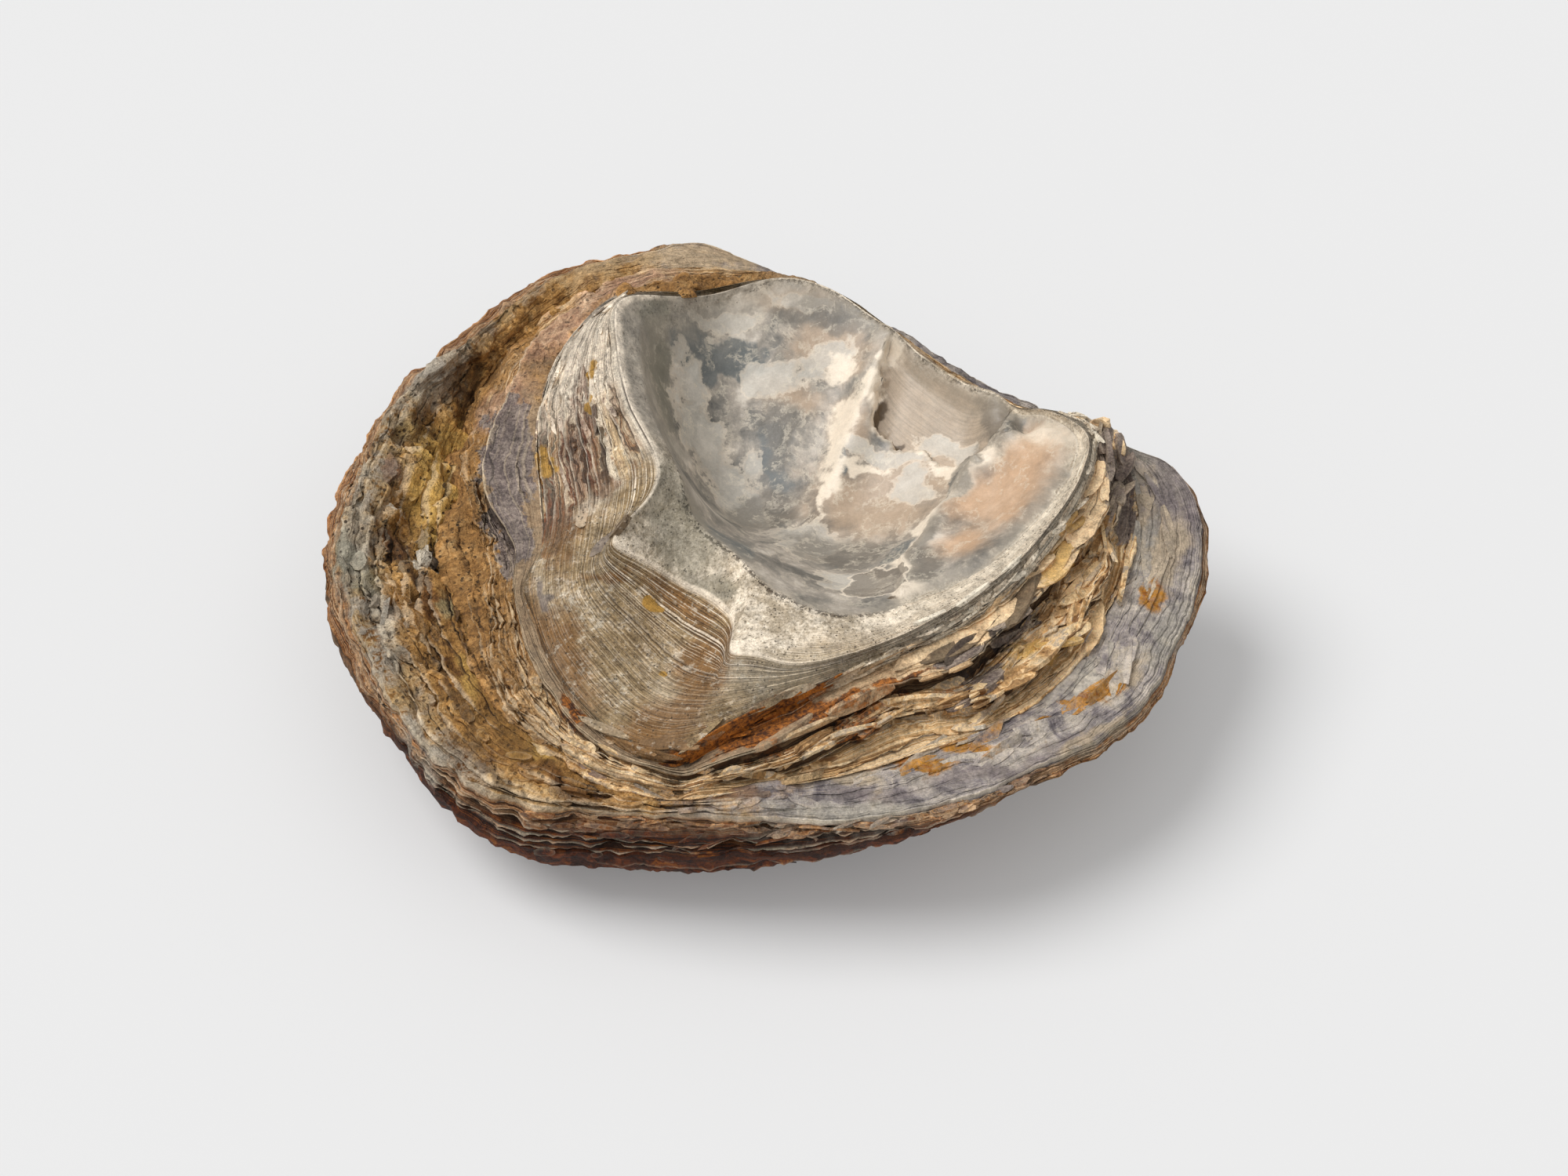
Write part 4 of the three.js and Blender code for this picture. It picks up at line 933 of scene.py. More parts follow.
def innerMaterial():
    c = tones(innerPaint)
    paint = Paint("innerShell")
    mark, noise, mix = paint.mark, paint.noise, paint.mix
    growth, lip, low = mark("growth"), mark("lip"), mark("low")
    wide, middle, fine, dust = noise(9, 5, 0.6, 0.8), noise(3, 6, 0.65, 0.4), noise(0.8, 4), noise(0.22, 3)
    cloud = noise(7, 10, 0.68, 0.25)
    ragged = (wide - 0.5) * 0.9 + (middle - 0.5) * 0.7
    fray = cloud * 0.7 + middle * 0.3 - 0.5

    def field(name, torn=1.6):
        # a stain whose edge frays like cloud
        return mark(name) + fray * torn * mark(name).step(0, 0.35)

    colour = paint.ramp(wide * 0.4 + cloud * 0.6, c["bowl"])
    colour = mix(field("tan").step(0.1, 0.9) * 0.8, colour, c["tan"])
    colour = mix(field("fold").step(0.2, 0.8) * 0.8, colour, c["fold"])
    colour = mix(field("peach", 1).step(0.05, 1) * 0.75, colour, c["peach"])
    colour = mix(field("blue").step(0.36, 0.6) * 0.85, colour, c["blue"])
    scar = mark("scar").step(0.36, 0.42)
    arcs = noise(0.9, 4, 0.6, 0, paint.along(growth, 70, 3))
    sheet = mark("sheet").step(0.4, 0.45)
    edges = mark("sheet").step(0.36, 0.41) * (1 - mark("sheet").step(0.45, 0.62))
    edges = edges.highest(mark("scar").step(0.24, 0.33) * (1 - mark("scar").step(0.36, 0.4)))
    # a cream line painted as highlight along the raised edges of the last sheet and of the scar
    colour = mix(edges * growth.step(0.12, 0.3) * 0.85, colour, c["cream"])
    colour = mix(scar * 0.9, colour, mix(arcs.step(0.3, 0.7) * 0.35 + cloud * 0.3, c["scar"], c["dark"]))
    white = field("white", 2.4)
    colour = mix(white.step(0.3, 0.64) * (0.3 + 0.75 * cloud), colour, c["white"])
    colour = mix(white.step(0.3, 0.4) * (1 - white.step(0.42, 0.6)) * 0.35, colour, c["cream"])
    # cream patches; on the ridge beside the scar they are partly a painted highlight
    colour = mix(field("cream", 2.4).step(0.32, 0.7) * 0.85, colour, c["cream"])
    colour = mix(field("shade", 1.8).step(0.25, 0.65) * 0.7, colour, c["shade"])
    dark = field("dark", 0.8)
    colour = mix(dark.step(0.42, 0.48) * 0.75, colour, c["dark"])
    colour = mix(dark.step(0.34, 0.4) * (1 - dark.step(0.42, 0.46)) * 0.6, colour, c["cream"])
    veins = 1 - ((cloud - 0.5) * 30).size()
    colour = mix(veins.highest(0) * 0.5 * (1 - scar) * middle.step(0.4, 0.6), colour, c["edge"])

    upon = (growth + ragged * 0.12).step(0.96, 1.03)
    crest = mark("crest").step(0.1, 0.5)
    chalky = upon * (1 - crest)
    colour = mix((growth + ragged * 0.2).step(0.85, 1.05) * 0.8, colour, c["crest"])
    pores = (1 - paint.cells(0.7).step(0.1, 0.24)) * middle.step(0.47, 0.6)
    chalk = mix((fine * 0.25 + middle * 0.3 + cloud * 0.45).step(0.42, 0.58) * 0.8, c["chalk"], c["ash"])
    chalk = mix(noise(0.4, 5, 0.75).step(0.52, 0.64) * 0.4, chalk, c["pores"])
    chalk = mix(pores * 0.9, chalk, c["pores"])
    pitted = growth.step(0.97, 1) * (1 - growth.step(1.02, 1.1)) * noise(0.9, 4, 0.7).step(0.5, 0.56)
    pitted = pitted * (1 - mark("right").step(0.25, 0.6))
    # painted shade in the pits along the edge of the bowl
    chalk = mix(pitted * 0.8, chalk, c["creviceShade"])
    broad, lines = paint.lines(growth, 13, 5, 3), paint.lines(growth, 36, 5)
    fineLines = paint.lines(growth, 90, 3)
    silk = mix((fineLines * 0.5 + broad * 0.5).step(0.42, 0.58), c["silk"], c["edge"])
    chalk = mix(mark("right").step(0.1, 0.7) * (0.4 + 0.6 * wide), chalk, silk)
    colour = mix(chalky, colour, chalk)
    colour = mix(field("fold", 1).step(0.1, 0.7) * upon * 0.65, colour, c["fold"])

    nearLine = 1 - growth.step(2.2, 2.5)
    threads = paint.lines(growth, 66, 1.5, 2)
    band = paint.ramp(threads * 0.15 + fineLines * 0.1 + middle * 0.35 + cloud * 0.4, c["band"])
    band = mix(mark("right").step(0.05, 0.5) * 0.8, band, silk)
    band = mix((fine * 0.5 + middle * 0.5).step(0.52, 0.62) * (1 - nearLine) * 0.55, band, c["cream"])
    band = mix((1 - noise(0.5, 5, 0.7).step(0.4, 0.48)) * (1 - mark("striped")) * 0.6, band, c["lineDark"])
    band = mix(field("pale", 1).step(0.1, 0.9) * 0.55, band, c["pale"])
    band = mix(field("brown", 1.4).step(0.15, 0.85) * 0.8, band, c["brown"])
    band = mix(threads.step(0.54, 0.6) * (0.15 + 0.6 * nearLine) * middle.step(0.34, 0.5), band, c["cream"])
    band = mix((1 - threads.step(0.38, 0.46)) * (0.3 + 0.6 * nearLine) * wide.step(0.34, 0.5), band,
               c["lineDark"])
    specks = (1 - paint.cells(0.9).step(0.12, 0.22)) * fine.step(0.48, 0.56)
    band = mix(specks * 0.8, band, c["pores"])
    band = mix((noise(1.6, 5, 0.7) * 0.6 + cloud * 0.4).step(0.54, 0.62) * 0.5, band, c["edge"])
    band = mix(field("slate").step(0.35, 0.7) * 0.7, band, c["slate"])
    layered = mark("layer") * 0.5 + broad * 0.4 + middle * 0.1
    stripes = paint.ramp(layered, c["stripes"])
    stripes = mix(field("slate").step(0.35, 0.7) * 0.6, stripes, c["slate"])
    stripes = mix(field("pale", 1).step(0.05, 0.5) * 0.85, stripes, c["cream"])
    stripes = mix(field("brown").step(0.3, 0.8) * 0.7, stripes, c["red"])
    stripes = mix(fineLines.step(0.55, 0.65) * 0.3, stripes, c["edge"])
    # the dark lines between the stripes are painted shade in their crevices
    stripes = mix((1 - broad.step(0.4, 0.45)) * (0.8 - 0.5 * mark("pale")), stripes, c["creviceShade"])
    stripes = mix((1 - lines.step(0.34, 0.42)) * (0.6 - 0.4 * mark("pale")), stripes, c["creviceShade"])
    # a pale band painted as highlight along the top of the striped wall
    stripes = mix((1 - growth.step(2.02, 2.12)) * 0.8, stripes, c["edge"])
    band = mix(mark("striped").step(0.25, 0.6), band, stripes)
    band = mix(field("gold").step(0.4, 0.6), band, c["gold"])
    merging = mark("right").step(0.002, 0.12)
    beyond = (growth + ragged * (0.03 + 0.2 * merging) + merging * 0.7).step(1.98, 2.03 + merging * 0.6)
    colour = mix(beyond, colour, band)
    # a cream line painted as highlight along the first growth line, wider on the crest above the striped wall
    ledge = growth.step(1.6, 1.85) * (1 - growth.step(2, 2.06)) * mark("striped").step(0.2, 0.6)
    ledge = ledge.highest(growth.step(1.92, 1.97) * (1 - growth.step(2, 2.04)) * 0.8 * (1 - merging))
    colour = mix(ledge * 0.85, colour, c["cream"])
    pale = (growth + ragged * 0.3).step(2.7, 2.95) * (1 - growth.step(3.1, 3.2))
    colour = mix(pale * mark("right"), colour, c["edge"])
    recess = field("rust").step(0.2, 0.5) * growth.step(3.05, 3.1)
    recess = recess.highest(field("rust").step(0.7, 1) * growth.step(2.8, 3))
    colour = mix(recess, colour, mix((fine * 0.5 + middle * 0.5).step(0.38, 0.56), c["rustDark"], c["rust"]))
    # dirt and painted shade, mostly at the scar's sunken edge
    colour = mix(field("dirt").step(0.35, 0.7) * 0.85, colour, c["dirt"])
    torn = (mark("striped") + mark("right")).step(0.3, 0.6)
    # painted light: a pale highlight on the lips of the layers, painted shade under the lips and in the
    # hollows by the first growth line
    colour = mix(lip.step(0.2, 1) * growth.step(2, 2.1) * torn * 0.5, colour, c["edge"])
    colour = mix((-lip).step(0.2, 1) * torn.highest(growth.step(3, 3.1)) * 0.85, colour, c["creviceShade"])
    colour = mix(low.step(0.05, 0.7) * 0.75 * growth.step(1.9, 2.1), colour, c["creviceShade"])
    colour = paint.grained(colour, 0.12 + 0.3 * upon + 0.1 * mark("striped") * upon, 0.35, 1.3, 4)

    rough = 0.36 + 0.45 * chalky + 0.1 * fine
    height = cloud * 0.25 + middle * (0.1 + 0.3 * chalky) + sheet * 0.3
    height = height + fine * (0.03 + 0.3 * chalky) + dust * 0.08 * chalky
    height = height - (pores * 0.3 + pitted * 0.5) * chalky + edges * 0.2
    ribbed = threads * 0.5 + lines * 0.3 + broad * 0.8 * mark("striped")
    height = height + ribbed * growth.step(1.98, 2.05) - specks * 0.3 * upon
    height = height + arcs * scar * 0.06 + (middle * 0.6 + fine * 0.5) * recess
    return paint.finish(colour, rough, height)


platePaint = {
    "slab": [(0.36, "#b89a78"), (0.46, "#e2c49c"), (0.56, "#f6dcb4"), (0.66, "#dccab0")],
    "rock": [(0.36, "#84624a"), (0.46, "#a58066"), (0.54, "#bd9a7c"), (0.64, "#d2b698")],
    "leftSlab": "#85705a",
    "layers": [(0.34, "#7c5730"), (0.42, "#c9a26f"), (0.48, "#f0d2a4"), (0.53, "#b9aa98"),
               (0.58, "#f3d7a8"), (0.66, "#b28a58")],
    "crust": [(0.36, "#6a4a25"), (0.46, "#8f6837"), (0.54, "#a67d49"), (0.64, "#bd9a68")],
    "purple": "#5d5456",
    "lilac": "#8d827d",
    "rust": "#b06a20",
    "rustDark": "#4a2409",
    "yellow": "#d4ab5e",
    # a dark brown, laid mostly as painted shade under lips, in hollows, along slab edges and where the plates
    # start; also the pores
    "dark": "#2b1c0e",
    "crack": "#5c4429",
    # a pale tone for lines, also the painted highlight on lips
    "edge": "#d9c8aa",
}


def plateMaterial():
    c = tones(platePaint)
    paint = Paint("growthPlates")
    mark, noise, mix = paint.mark, paint.noise, paint.mix
    growth, lip, low = mark("growth"), mark("lip"), mark("low")
    wide, middle, fine, dust = noise(8, 5, 0.6, 0.6), noise(2.6, 6, 0.65, 0.4), noise(0.7, 4), noise(0.22, 3)
    cloud = noise(6, 10, 0.7, 0.8)
    ragged = (wide - 0.5) * 0.8 + (middle - 0.5) * 0.8

    paint.fray = cloud * 0.6 + middle * 0.4 - 0.5
    blot = paint.blot
    lines = paint.lines(growth, 34, 4, 4)
    bent = paint.vector("ADD", paint.place, paint.node(
        "ShaderNodeTexNoise", None, {"Vector": paint.place, "Scale": 0.5, "Detail": 3}, "Color"))
    cracks = 1 - paint.cells(5, "DISTANCE_TO_EDGE", place=bent).step(0.004, 0.03)
    cracks = cracks * middle.step(0.4, 0.6) * mark("right")
    colour = paint.ramp(middle * 0.5 + wide * 0.3 + fine * 0.2, c["slab"])
    colour = mix((1 - mark("right").step(0.05, 0.4)) * 0.8, colour, c["leftSlab"])
    colour = mix(cracks * 0.25, colour, c["crack"])
    layers = paint.ramp(lines * 0.75 + mark("layer") * 0.25, c["layers"])
    colour = mix((growth + ragged * 0.1).step(4.5, 4.7), colour, layers)
    crust = paint.ramp(middle * 0.5 + fine * 0.25 + wide * 0.25, c["crust"])
    colour = mix((mark("crust") + ragged).step(0.3, 0.7), colour, crust)
    rock = paint.ramp(middle * 0.4 + fine * 0.2 + wide * 0.4, c["rock"])
    colour = mix(blot("rock", 0.2, 0.8), colour, rock)
    purple = mix((middle * 0.5 + fine * 0.5).step(0.4, 0.6), c["purple"], c["lilac"])
    purple = mix(lines.step(0.54, 0.62) * 0.25, purple, c["edge"])
    colour = mix(blot("purple", 0.3, 0.4) * 0.9, colour, purple)
    colour = mix(blot("yellow") * 0.8, colour, c["yellow"])
    colour = mix(blot("rust", 0.25, 0.5) * 0.95, colour,
                 mix((fine * 0.5 + middle * 0.5).step(0.4, 0.6), c["rustDark"], c["rust"]))
    # painted light: a pale highlight on the lips, painted shade under them and in hollows, ridges lightened
    # as if lit, painted shade along the slab edges
    colour = mix(lip.step(0.2, 1) * 0.55, colour, c["edge"])
    colour = mix((-lip).step(0.1, 1) * 0.75, colour, c["dark"])
    colour = mix(low.step(0.3, 1.8) * 0.35, colour, c["dark"])
    colour = paint.vector("SCALE", colour, scale=1 + (-low).step(0.05, 0.5) * 0.35)
    colour = mix(blot("dark") * 0.8, colour, c["dark"])
    # painted shade where the plates start under the margin on the right
    colour = mix((1 - (growth + ragged * 0.1).step(4.1, 4.18)) * mark("right").step(0.2, 0.6) * 0.5,
                 colour, c["dark"])
    colour = paint.grained(colour, 0.5, 0.35, 1.1, 3.2)

    pores = (1 - paint.cells(1.1).step(0.16, 0.3)) * mark("crust") * middle.step(0.4, 0.6)
    colour = mix(pores * 0.8, colour, c["dark"])
    rocky = mark("crust").step(0.2, 0.6)
    height = (middle * 1 + fine * 0.7) * (0.35 + 0.65 * rocky) + dust * 0.15
    height = height + lines * 0.5 * (1 - rocky) - pores * 0.6
    return paint.finish(colour, 0.7 + 0.2 * fine, height)


outerPaint = {
    "crust": [(0.36, "#6b451e"), (0.45, "#946b34"), (0.54, "#b68b50"), (0.64, "#d6b685")],
    "lobe": [(0.4, "#6b656a"), (0.46, "#979091"), (0.52, "#b9b1aa"), (0.58, "#cfc6bb"), (0.64, "#b9a68c")],
    "clay": "#8f7350",
    "wet": "#5f4a33",
    # the underside's very dark rust-browns, partly its own colour and partly painted shade
    "belly": [(0.38, "#140801"), (0.47, "#3a1703"), (0.54, "#66300a"), (0.62, "#8e5518")],
    "wall": [(0.34, "#4a2410"), (0.42, "#9a6334"), (0.48, "#d6a571"), (0.53, "#957d6c"),
             (0.58, "#e0bb90"), (0.66, "#78431b")],
    "olive": "#6b6136",
    "yellow": "#d6ae5e",
    "green": "#8a8a6c",
    "red": "#6d3a1c",
    "slate": "#b1ada3",
    "rim": "#c0a67c",
    "umber": "#6b431a",
    "white": "#dcd3c2",
    # a dark brown, laid mostly as painted shade under lips, in hollows and in the gaps between ledges; also
    # the pores
    "dark": "#2c1a0b",
    "ochre": "#b9822f",
    "rust": "#9d5e18",
    "cream": "#c2b198",
    "purple": "#857a7c",
    "tan": "#d4b88f",
    # a pale tone for lines, also the painted highlight on lips
    "edge": "#d9ccb4",
}


def outerMaterial():
    c = tones(outerPaint)
    paint = Paint("outerShell")
    mark, noise, mix = paint.mark, paint.noise, paint.mix
    growth, lip, low, left = mark("growth"), mark("lip"), mark("low"), mark("left")
    wide, middle, fine, dust = noise(9, 5, 0.6, 0.6), noise(2.8, 6, 0.7, 0.4), noise(0.7, 4), noise(0.22, 3)
    cloud = noise(7, 10, 0.7, 0.8)
    ragged = (wide - 0.5) * 0.8 + (middle - 0.5) * 0.8
    paint.fray = cloud * 0.6 + middle * 0.4 - 0.5
    blot = paint.blot
    lines, lobeLines = paint.lines(growth, 30, 4, 4), paint.lines(growth, 60, 5, 3)
    crust = paint.ramp(middle * 0.5 + fine * 0.2 + wide * 0.3, c["crust"])
    lobe = paint.ramp(lobeLines * 0.1 + middle * 0.25 + cloud * 0.65, c["lobe"])
    lobe = mix(lobeLines.step(0.56, 0.62) * 0.2, lobe, c["edge"])
    wall = paint.ramp(lines * 0.65 + mark("layer") * 0.15 + middle * 0.2, c["wall"])
    colour = mix((left + ragged * 0.5).step(0.1, 0.35), lobe, crust)
    rim = (growth + ragged * 0.3).step(6.6, 6.8) * left * (middle * 0.6 + fine * 0.4).step(0.4, 0.5)
    colour = mix(rim * 0.8, colour, mix(wide.step(0.42, 0.58), c["slate"], c["rim"]))
    below = growth - 0.3 * (1 - mark("front"))
    colour = mix((below + ragged * 0.15).step(7.0, 7.2), colour, wall)
    # painted shade: the underside is darkest and reaches highest on the front, partly its own rust and partly
    # the shade under the valve; lighter clay towards the back
    belly = paint.ramp(lines * 0.6 + middle * 0.4, c["belly"])
    belly = mix((1 - mark("front").step(0.1, 0.7)) * 0.75, belly,
                mix(cloud.step(0.42, 0.58), c["clay"], c["wet"]))
    colour = mix((growth + ragged * 0.5 - (1 - mark("front"))).step(7.15, 7.55), colour, belly)
    for name, strength in (("tan", 0.7), ("olive", 0.45), ("yellow", 0.8), ("green", 0.6), ("red", 0.6),
                           ("umber", 0.75), ("purple", 0.6), ("slate", 0.6), ("cream", 0.8)):
        colour = mix(blot(name, 0.2, 0.8) * strength, colour, c[name])
    colour = mix(blot("ochre", 0.3, 0.6) * (0.3 + 1.2 * fine), colour,
                 mix(middle.step(0.54, 0.64), c["ochre"], c["rust"]))
    colour = mix(blot("white", 0.45, 0.55), colour, c["white"])
    # painted light: a pale highlight on the lips, painted shade under them and in hollows, ridges lightened
    # as if lit, painted shade in the ledges' gaps
    colour = mix(lip.step(0.2, 1) * 0.45, colour, c["edge"])
    colour = mix((-lip).step(0.1, 1) * 0.85, colour, c["dark"])
    colour = mix(low.step(0.1, 1.4) * 0.6, colour, c["dark"])
    colour = paint.vector("SCALE", colour, scale=1 + (-low).step(0.05, 0.7) * 0.35)
    colour = mix(blot("dark") * 0.5, colour, c["dark"])
    colour = paint.grained(colour, 0.5 - 0.1 * (1 - left), 0.35, 1.1, 3.2)
    pores = (1 - paint.cells(1.2).step(0.16, 0.3)) * mark("crust") * wide.step(0.4, 0.6)
    colour = mix(pores * 0.8, colour, c["dark"])
    rugged = 0.5 + 0.8 * left
    height = (middle * 1.3 + fine * 0.75) * rugged + dust * 0.15 + lines * 0.5 - pores * 0.6
    return paint.finish(colour, 0.75 + 0.2 * fine, height)


finishes = {"inner": innerMaterial(), "plates": plateMaterial(), "outer": outerMaterial()}
finishPiece(makeInnerShell(), finishes["inner"])
finishPiece(makeGrowthPlates(), finishes["plates"])
finishPiece(makeOuterShell(), finishes["outer"])


flakes = {
    "shapes": 5,
    "corners": 13,
    "ragged": 0.13,
}

# Where they lie: surface, growth from and to, direction and spread in degrees, how many,
# lengths, widths and thickness in mm, and how far the outer edge lifts in degrees.
flakeBeds = {
    "end_flakes": ("plates", 4.15, 5.3, -5, 16, 26, (3, 7), (1.5, 3), 1.1, 12),
    "slab_flakes": ("plates", 4.1, 4.45, -45, 32, 18, (5, 11), (2, 3.2), 0.3, 1),
    "shelf_flakes": ("plates", 4.8, 5.7, -52, 44, 100, (5, 12), (1.2, 2.6), 0.5, 3),
    "lobe_flakes": ("outer", 6.0, 6.55, -40, 42, 60, (6, 15), (1.5, 3), 0.2, 1),
    "front_flakes": ("outer", 7.2, 7.7, -95, 30, 80, (3, 7), (0.8, 1.6), 0.4, 0),
    "belly_flakes": ("outer", 8.0, 9.0, -105, 40, 40, (2, 4.5), (1, 2), 0.3, 0),
    "crust_flakes": ("outer", 6.15, 6.8, 218, 50, 80, (2, 6), (1.5, 3), 0.7, 5),
    "hinge_flakes": ("plates", 4.6, 5.9, -100, 40, 60, (3, 9), (1.2, 2.2), 0.5, 7),
    "wall_flakes": ("inner", 2.15, 2.95, 172, 28, 36, (3, 8), (0.6, 1.2), 0.35, 3),
    "recess_flakes": ("inner", 2.98, 3.3, -98, 24, 70, (3, 10), (0.8, 1.8), 0.4, 8),
    "margin_flakes": ("inner", 2.5, 3.2, -35, 40, 60, (2, 7), (0.6, 1.2), 0.35, 8),
}


# Single flakes that stand out: x, y, length, width, thickness in mm, turn and lift in degrees, own marks.
keyFlakes = {
    "inner": [(52.5, -5.5, 5, 0.9, 0.5, 0, 5, {"right": 1, "growth": 3}),
              (40, -25.5, 5, 0.9, 0.6, 0, 8, {"right": 1, "growth": 3}),
              (33.5, -31, 7, 1, 0.6, 0, 5, {"right": 1, "growth": 3}),
              (27, -35, 7, 1, 0.5, 0, 5, {"right": 1, "growth": 3}),
              (-30, -13.5, 4, 2.5, 1, 20, 12, {"pale": 1}), (-24, -19, 5, 3, 1, 30, 8, {"pale": 1}),
              (-26.5, -20.5, 6, 2, 0.8, 30, 15, {"slate": 1})],
    "plates": [(19.5, -40.5, 15, 4, 0.5, 3, 2, {}), (27, -37.5, 16, 5, 0.6, -4, 2, {}),
               (35, -33, 15, 5, 0.6, 4, 2, {}), (41.5, -27.5, 14, 5, 0.6, -5, 2, {}),
               (47.5, -21, 13, 5, 0.6, 6, 2, {}), (53, -13.5, 10, 3.5, 0.6, -5, 2, {}),
               (25.5, -46, 14, 3.5, 0.9, 4, 8, {}), (33.5, -43.5, 12, 4.5, 1, -8, 12, {"purple": 1}),
               (15.5, -48.5, 12, 3, 0.8, 2, 8, {}), (45, -36, 12, 4, 0.9, 5, 8, {}),
               (54, -28, 11, 3.5, 0.9, -5, 8, {}), (60, -18, 10, 3, 0.8, 4, 8, {}),
               (14.5, -52.5, 9, 3, 0.8, 12, 8, {}), (3, -54, 11, 3, 0.8, -6, 10, {})],
    "outer": [(5.5, -58, 8, 5, 1.1, -12, 6, {"tan": 1, "left": 1}),
              (-63.5, -26, 8, 2.5, 1, 10, 10, {"slate": 1}), (-17, -60.5, 9, 4, 0.9, 0, 3, {"slate": 1}),
              (-57.5, -11, 5, 3, 1.2, 30, 12, {"white": 1}), (34, -48, 3.5, 2, 0.7, 40, 10, {"white": 1}),
              (-27.5, -57, 8, 4, 1.2, 20, 4, {"purple": 1})],
}


def flakeShape(seed):
    # a thin broken flake one mm across, lying flat at the middle
    bpy.ops.object.select_all(action="DESELECT")
    bpy.ops.mesh.primitive_cylinder_add(vertices=flakes["corners"], radius=0.5, depth=1,
                                        end_fill_type="TRIFAN")
    flake = bpy.context.object
    bpy.ops.object.mode_set(mode="EDIT")
    bpy.ops.mesh.select_all(action="SELECT")
    bpy.ops.transform.vertex_random(offset=flakes["ragged"], seed=seed)
    bpy.ops.object.mode_set(mode="OBJECT")
    return flake


def scattered(bed, random):
    # flakes strewn over a bed: row, column, length, width, thickness, turn, lift, marks of its own
    surface, fromGrowth, toGrowth, direction, wide, count, lengths, widths, thick, lift = bed
    growth = surfaces[surface][1]["growth"]
    segments = growth.shape[1]
    for _ in range(count):
        column = int((direction + wide * random.uniform(-1, 1)) / 360 * segments) % segments
        inBed = (growth[:, column] >= fromGrowth) & (growth[:, column] <= toGrowth)
        row = random.choice(np.flatnonzero(inBed))
        yield (row, column, random.uniform(*lengths), random.uniform(*widths),
               thick * random.uniform(0.5, 1.3),
               random.normal(0, 12), lift * random.uniform(0.3, 1.6), {})


def chosen(surface, places):
    # flakes laid at places of their own
    p, marks = surfaces[surface]
    for x, y, long, wide, thick, turn, lift, own in places:
        away = (p[..., 0] - x) ** 2 + (p[..., 1] - y) ** 2 + 1000 * (marks["growth"] > 7.3)
        row, column = np.unravel_index(np.argmin(away - 0.05 * p[..., 2]), away.shape)
        yield row, column, long, wide, thick, turn, lift, own


def layFlakes(name, surface, spots, shapes, seed):
    p, marks = surfaces[surface]
    n = outward(softened(p, 6))
    segments = p.shape[1]
    random = np.random.default_rng(seed)
    copies = []
    for i, (row, column, long, wide, thick, angle, lift, own) in enumerate(spots):
        up = n[row, column]
        along = p[row, (column + 2) % segments] - p[row, column - 2]
        along = along / np.linalg.norm(along)
        out = np.cross(along, up)
        turn = math.radians(angle)
        x = along * math.cos(turn) + out * math.sin(turn)
        y = np.cross(up, x)
        y = -y if y @ out < 0 else y
        rise = math.radians(lift)
        y = y * math.cos(rise) + up * math.sin(rise)
        z = np.cross(x, y)
        z = -z if z @ up < 0 else z
        flake = shapes[i % len(shapes)].copy()
        flake.data = flake.data.copy()
        points = np.zeros(len(flake.data.vertices) * 3)
        flake.data.vertices.foreach_get("co", points)
        points = points.reshape(-1, 3)
        rim = (np.hypot(points[:, 0], points[:, 1]) > 0.3) & (points[:, 2] > 0)
        points[:, 2] = np.sign(points[:, 2]) / 2
        points = points * [long, wide, thick]
        spot = p[row, column] - up * 0.1 - np.array([*valve["middle"], 0]) + points @ np.array([x, y, z])
        flake.data.vertices.foreach_set("co", (spot * mm).ravel())
        for key, values in marks.items():
            value = own.get(key, {"layer": random.random(), "lip": 0, "low": 0}.get(key, values[row, column]))
            shade = flake.data.attributes.new(key, "FLOAT", "POINT")
            # the upper outer corners of each flake get a higher lip mark, which paints a highlight on them
            shade.data.foreach_set("value", np.full(len(points), value) + 0.5 * rim * (key == "lip"))
        bpy.context.collection.objects.link(flake)
        copies.append(flake)
    bpy.ops.object.select_all(action="DESELECT")
    for flake in copies:
        flake.select_set(True)
    bpy.context.view_layer.objects.active = copies[0]
    bpy.ops.object.join()
    piece = bpy.context.object
    piece.name = piece.data.name = name
    bpy.ops.object.mode_set(mode="EDIT")
    bpy.ops.mesh.select_all(action="SELECT")
    bpy.ops.mesh.normals_make_consistent(inside=False)
    bpy.ops.object.mode_set(mode="OBJECT")
    bpy.ops.object.shade_smooth_by_angle(angle=math.radians(35))
    finishPiece(piece, finishes[surface])


shapes = [flakeShape(seed) for seed in range(flakes["shapes"])]
for seed, (name, bed) in enumerate(flakeBeds.items()):
    layFlakes(name, bed[0], list(scattered(bed, np.random.default_rng(500 + seed))), shapes, 600 + seed)
for seed, (surface, flakesThere) in enumerate(keyFlakes.items()):
    layFlakes(f"{surface}_key_flakes", surface, list(chosen(surface, flakesThere)), shapes, 700 + seed)
bpy.ops.object.select_all(action="DESELECT")
for flake in shapes:
    flake.select_set(True)
bpy.ops.object.delete()

studio = {
    "floor": 6,  # metres across
    "floorColour": (0.65, 0.65, 0.65),
    "floorGlow": 0.16,  # keeps the shadow on it soft
    "sunFrom": (-0.66, 0.1, 1),
    "sunSpread": 36,
    "sunPower": 2,
    "fillFrom": (0, -0.25, 1),  # a second light, as wide as a ceiling
    "fillSpread": 90,
    "fillPower": 0.6,
    "sky": 0.33,
}

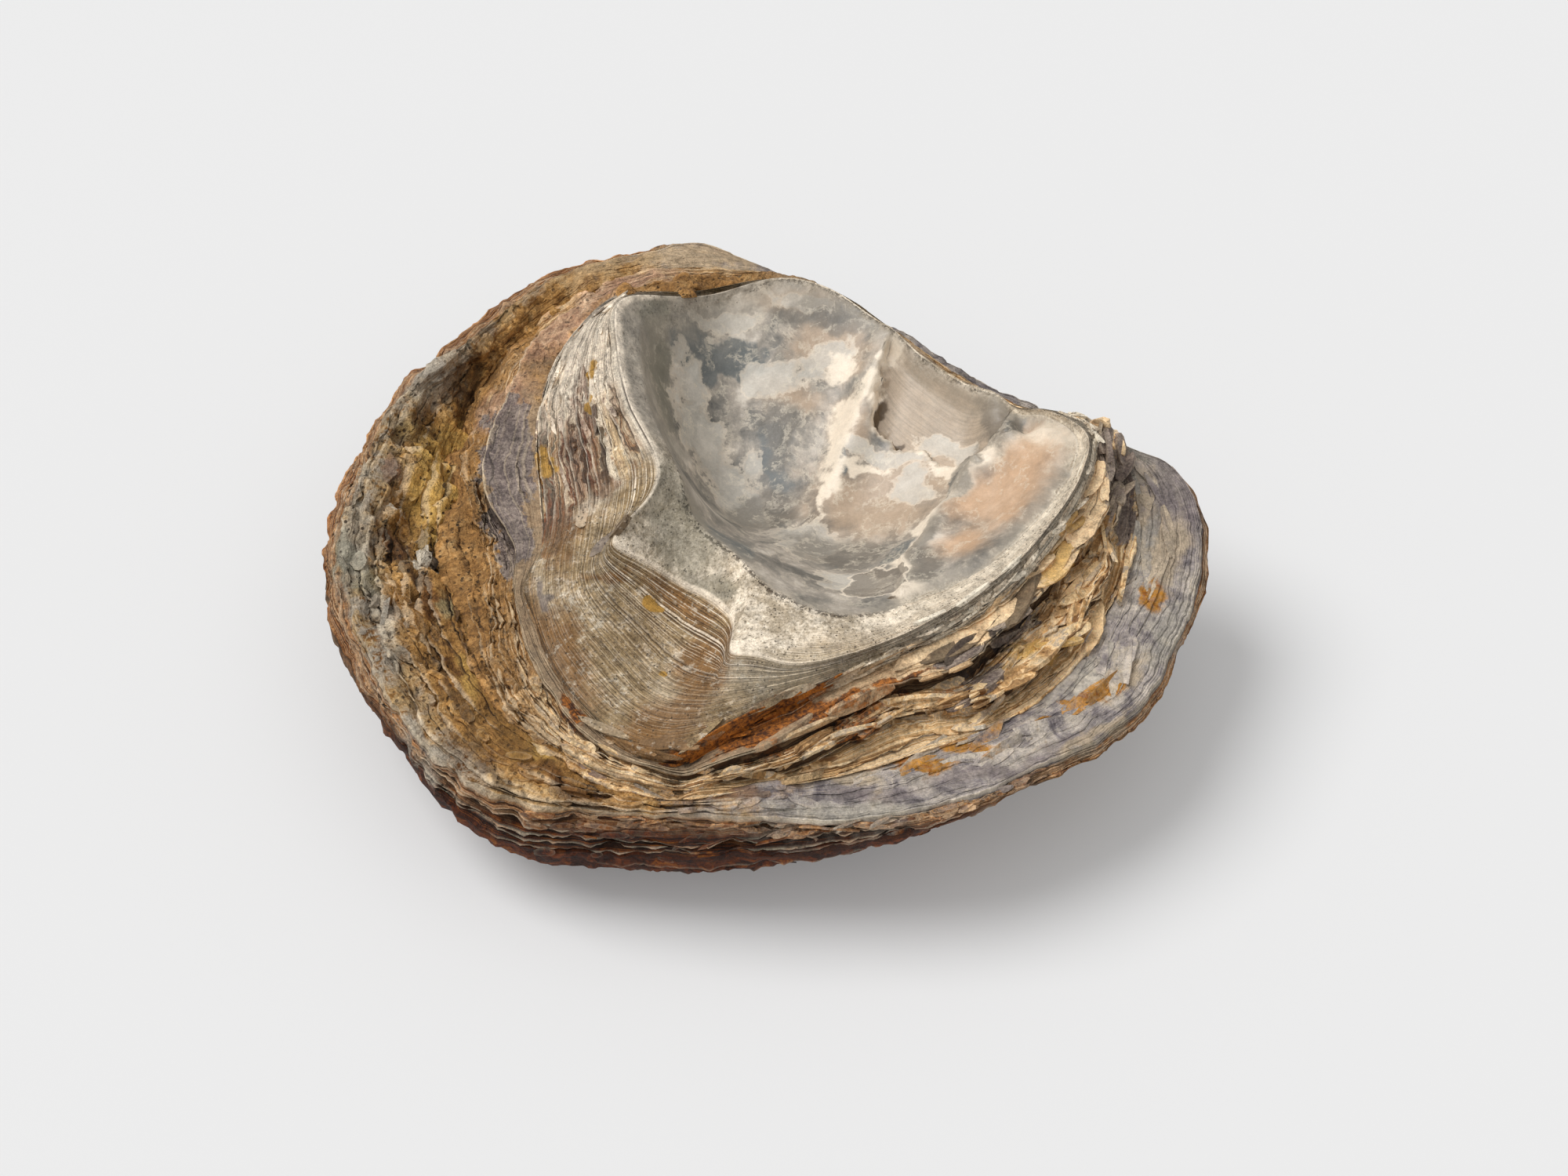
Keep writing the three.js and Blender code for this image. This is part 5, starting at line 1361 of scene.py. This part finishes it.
bpy.ops.object.select_all(action="DESELECT")
bpy.ops.mesh.primitive_plane_add(size=studio["floor"])
floor = bpy.context.object
floor.name = "floor"
paleFloor = bpy.data.materials.new("paleFloor")
paleFloor.use_nodes = True
floorShader = paleFloor.node_tree.nodes["Principled BSDF"]
floorShader.inputs["Base Color"].default_value = (*studio["floorColour"], 1)
floorShader.inputs["Emission Color"].default_value = (1, 1, 1, 1)
floorShader.inputs["Emission Strength"].default_value = studio["floorGlow"]
floorShader.inputs["Roughness"].default_value = 0.9
floor.data.materials.append(paleFloor)
floor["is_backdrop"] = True

bpy.ops.object.light_add(type="SUN", location=Vector(studio["sunFrom"]))
sun = bpy.context.object
sun.rotation_euler = (-Vector(studio["sunFrom"])).to_track_quat("-Z", "Y").to_euler()
sun.data.energy = studio["sunPower"]
sun.data.angle = math.radians(studio["sunSpread"])

bpy.ops.object.light_add(type="SUN", location=Vector(studio["fillFrom"]))
fill = bpy.context.object
fill.rotation_euler = (-Vector(studio["fillFrom"])).to_track_quat("-Z", "Y").to_euler()
fill.data.energy = studio["fillPower"]
fill.data.angle = math.radians(studio["fillSpread"])

world = bpy.data.worlds.new("studioSky")
bpy.context.scene.world = world
world.use_nodes = True
world.node_tree.nodes["Background"].inputs["Color"].default_value = (1, 1, 1, 1)
world.node_tree.nodes["Background"].inputs["Strength"].default_value = studio["sky"]
bpy.context.scene.view_settings.view_transform = "Standard"

view = {"aim": (2.86, -10.99, 22), "elevation": 47, "distance": 520, "lens": 70}
aim = Vector(view["aim"]) * mm
tilt = math.radians(view["elevation"])
away = Vector((0, -math.cos(tilt), math.sin(tilt)))
bpy.ops.object.camera_add(location=aim + away * view["distance"] * mm)
camera = bpy.context.object
camera.rotation_euler = (-away).to_track_quat("-Z", "Y").to_euler()
camera.data.lens = view["lens"]
camera.data.sensor_width = 36
bpy.context.scene.camera = camera
print("floor, light and camera")

boxes = {"cad": cadBox, "visual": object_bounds()}
{name: [list(corner) for corner in box] for name, box in boxes.items()}
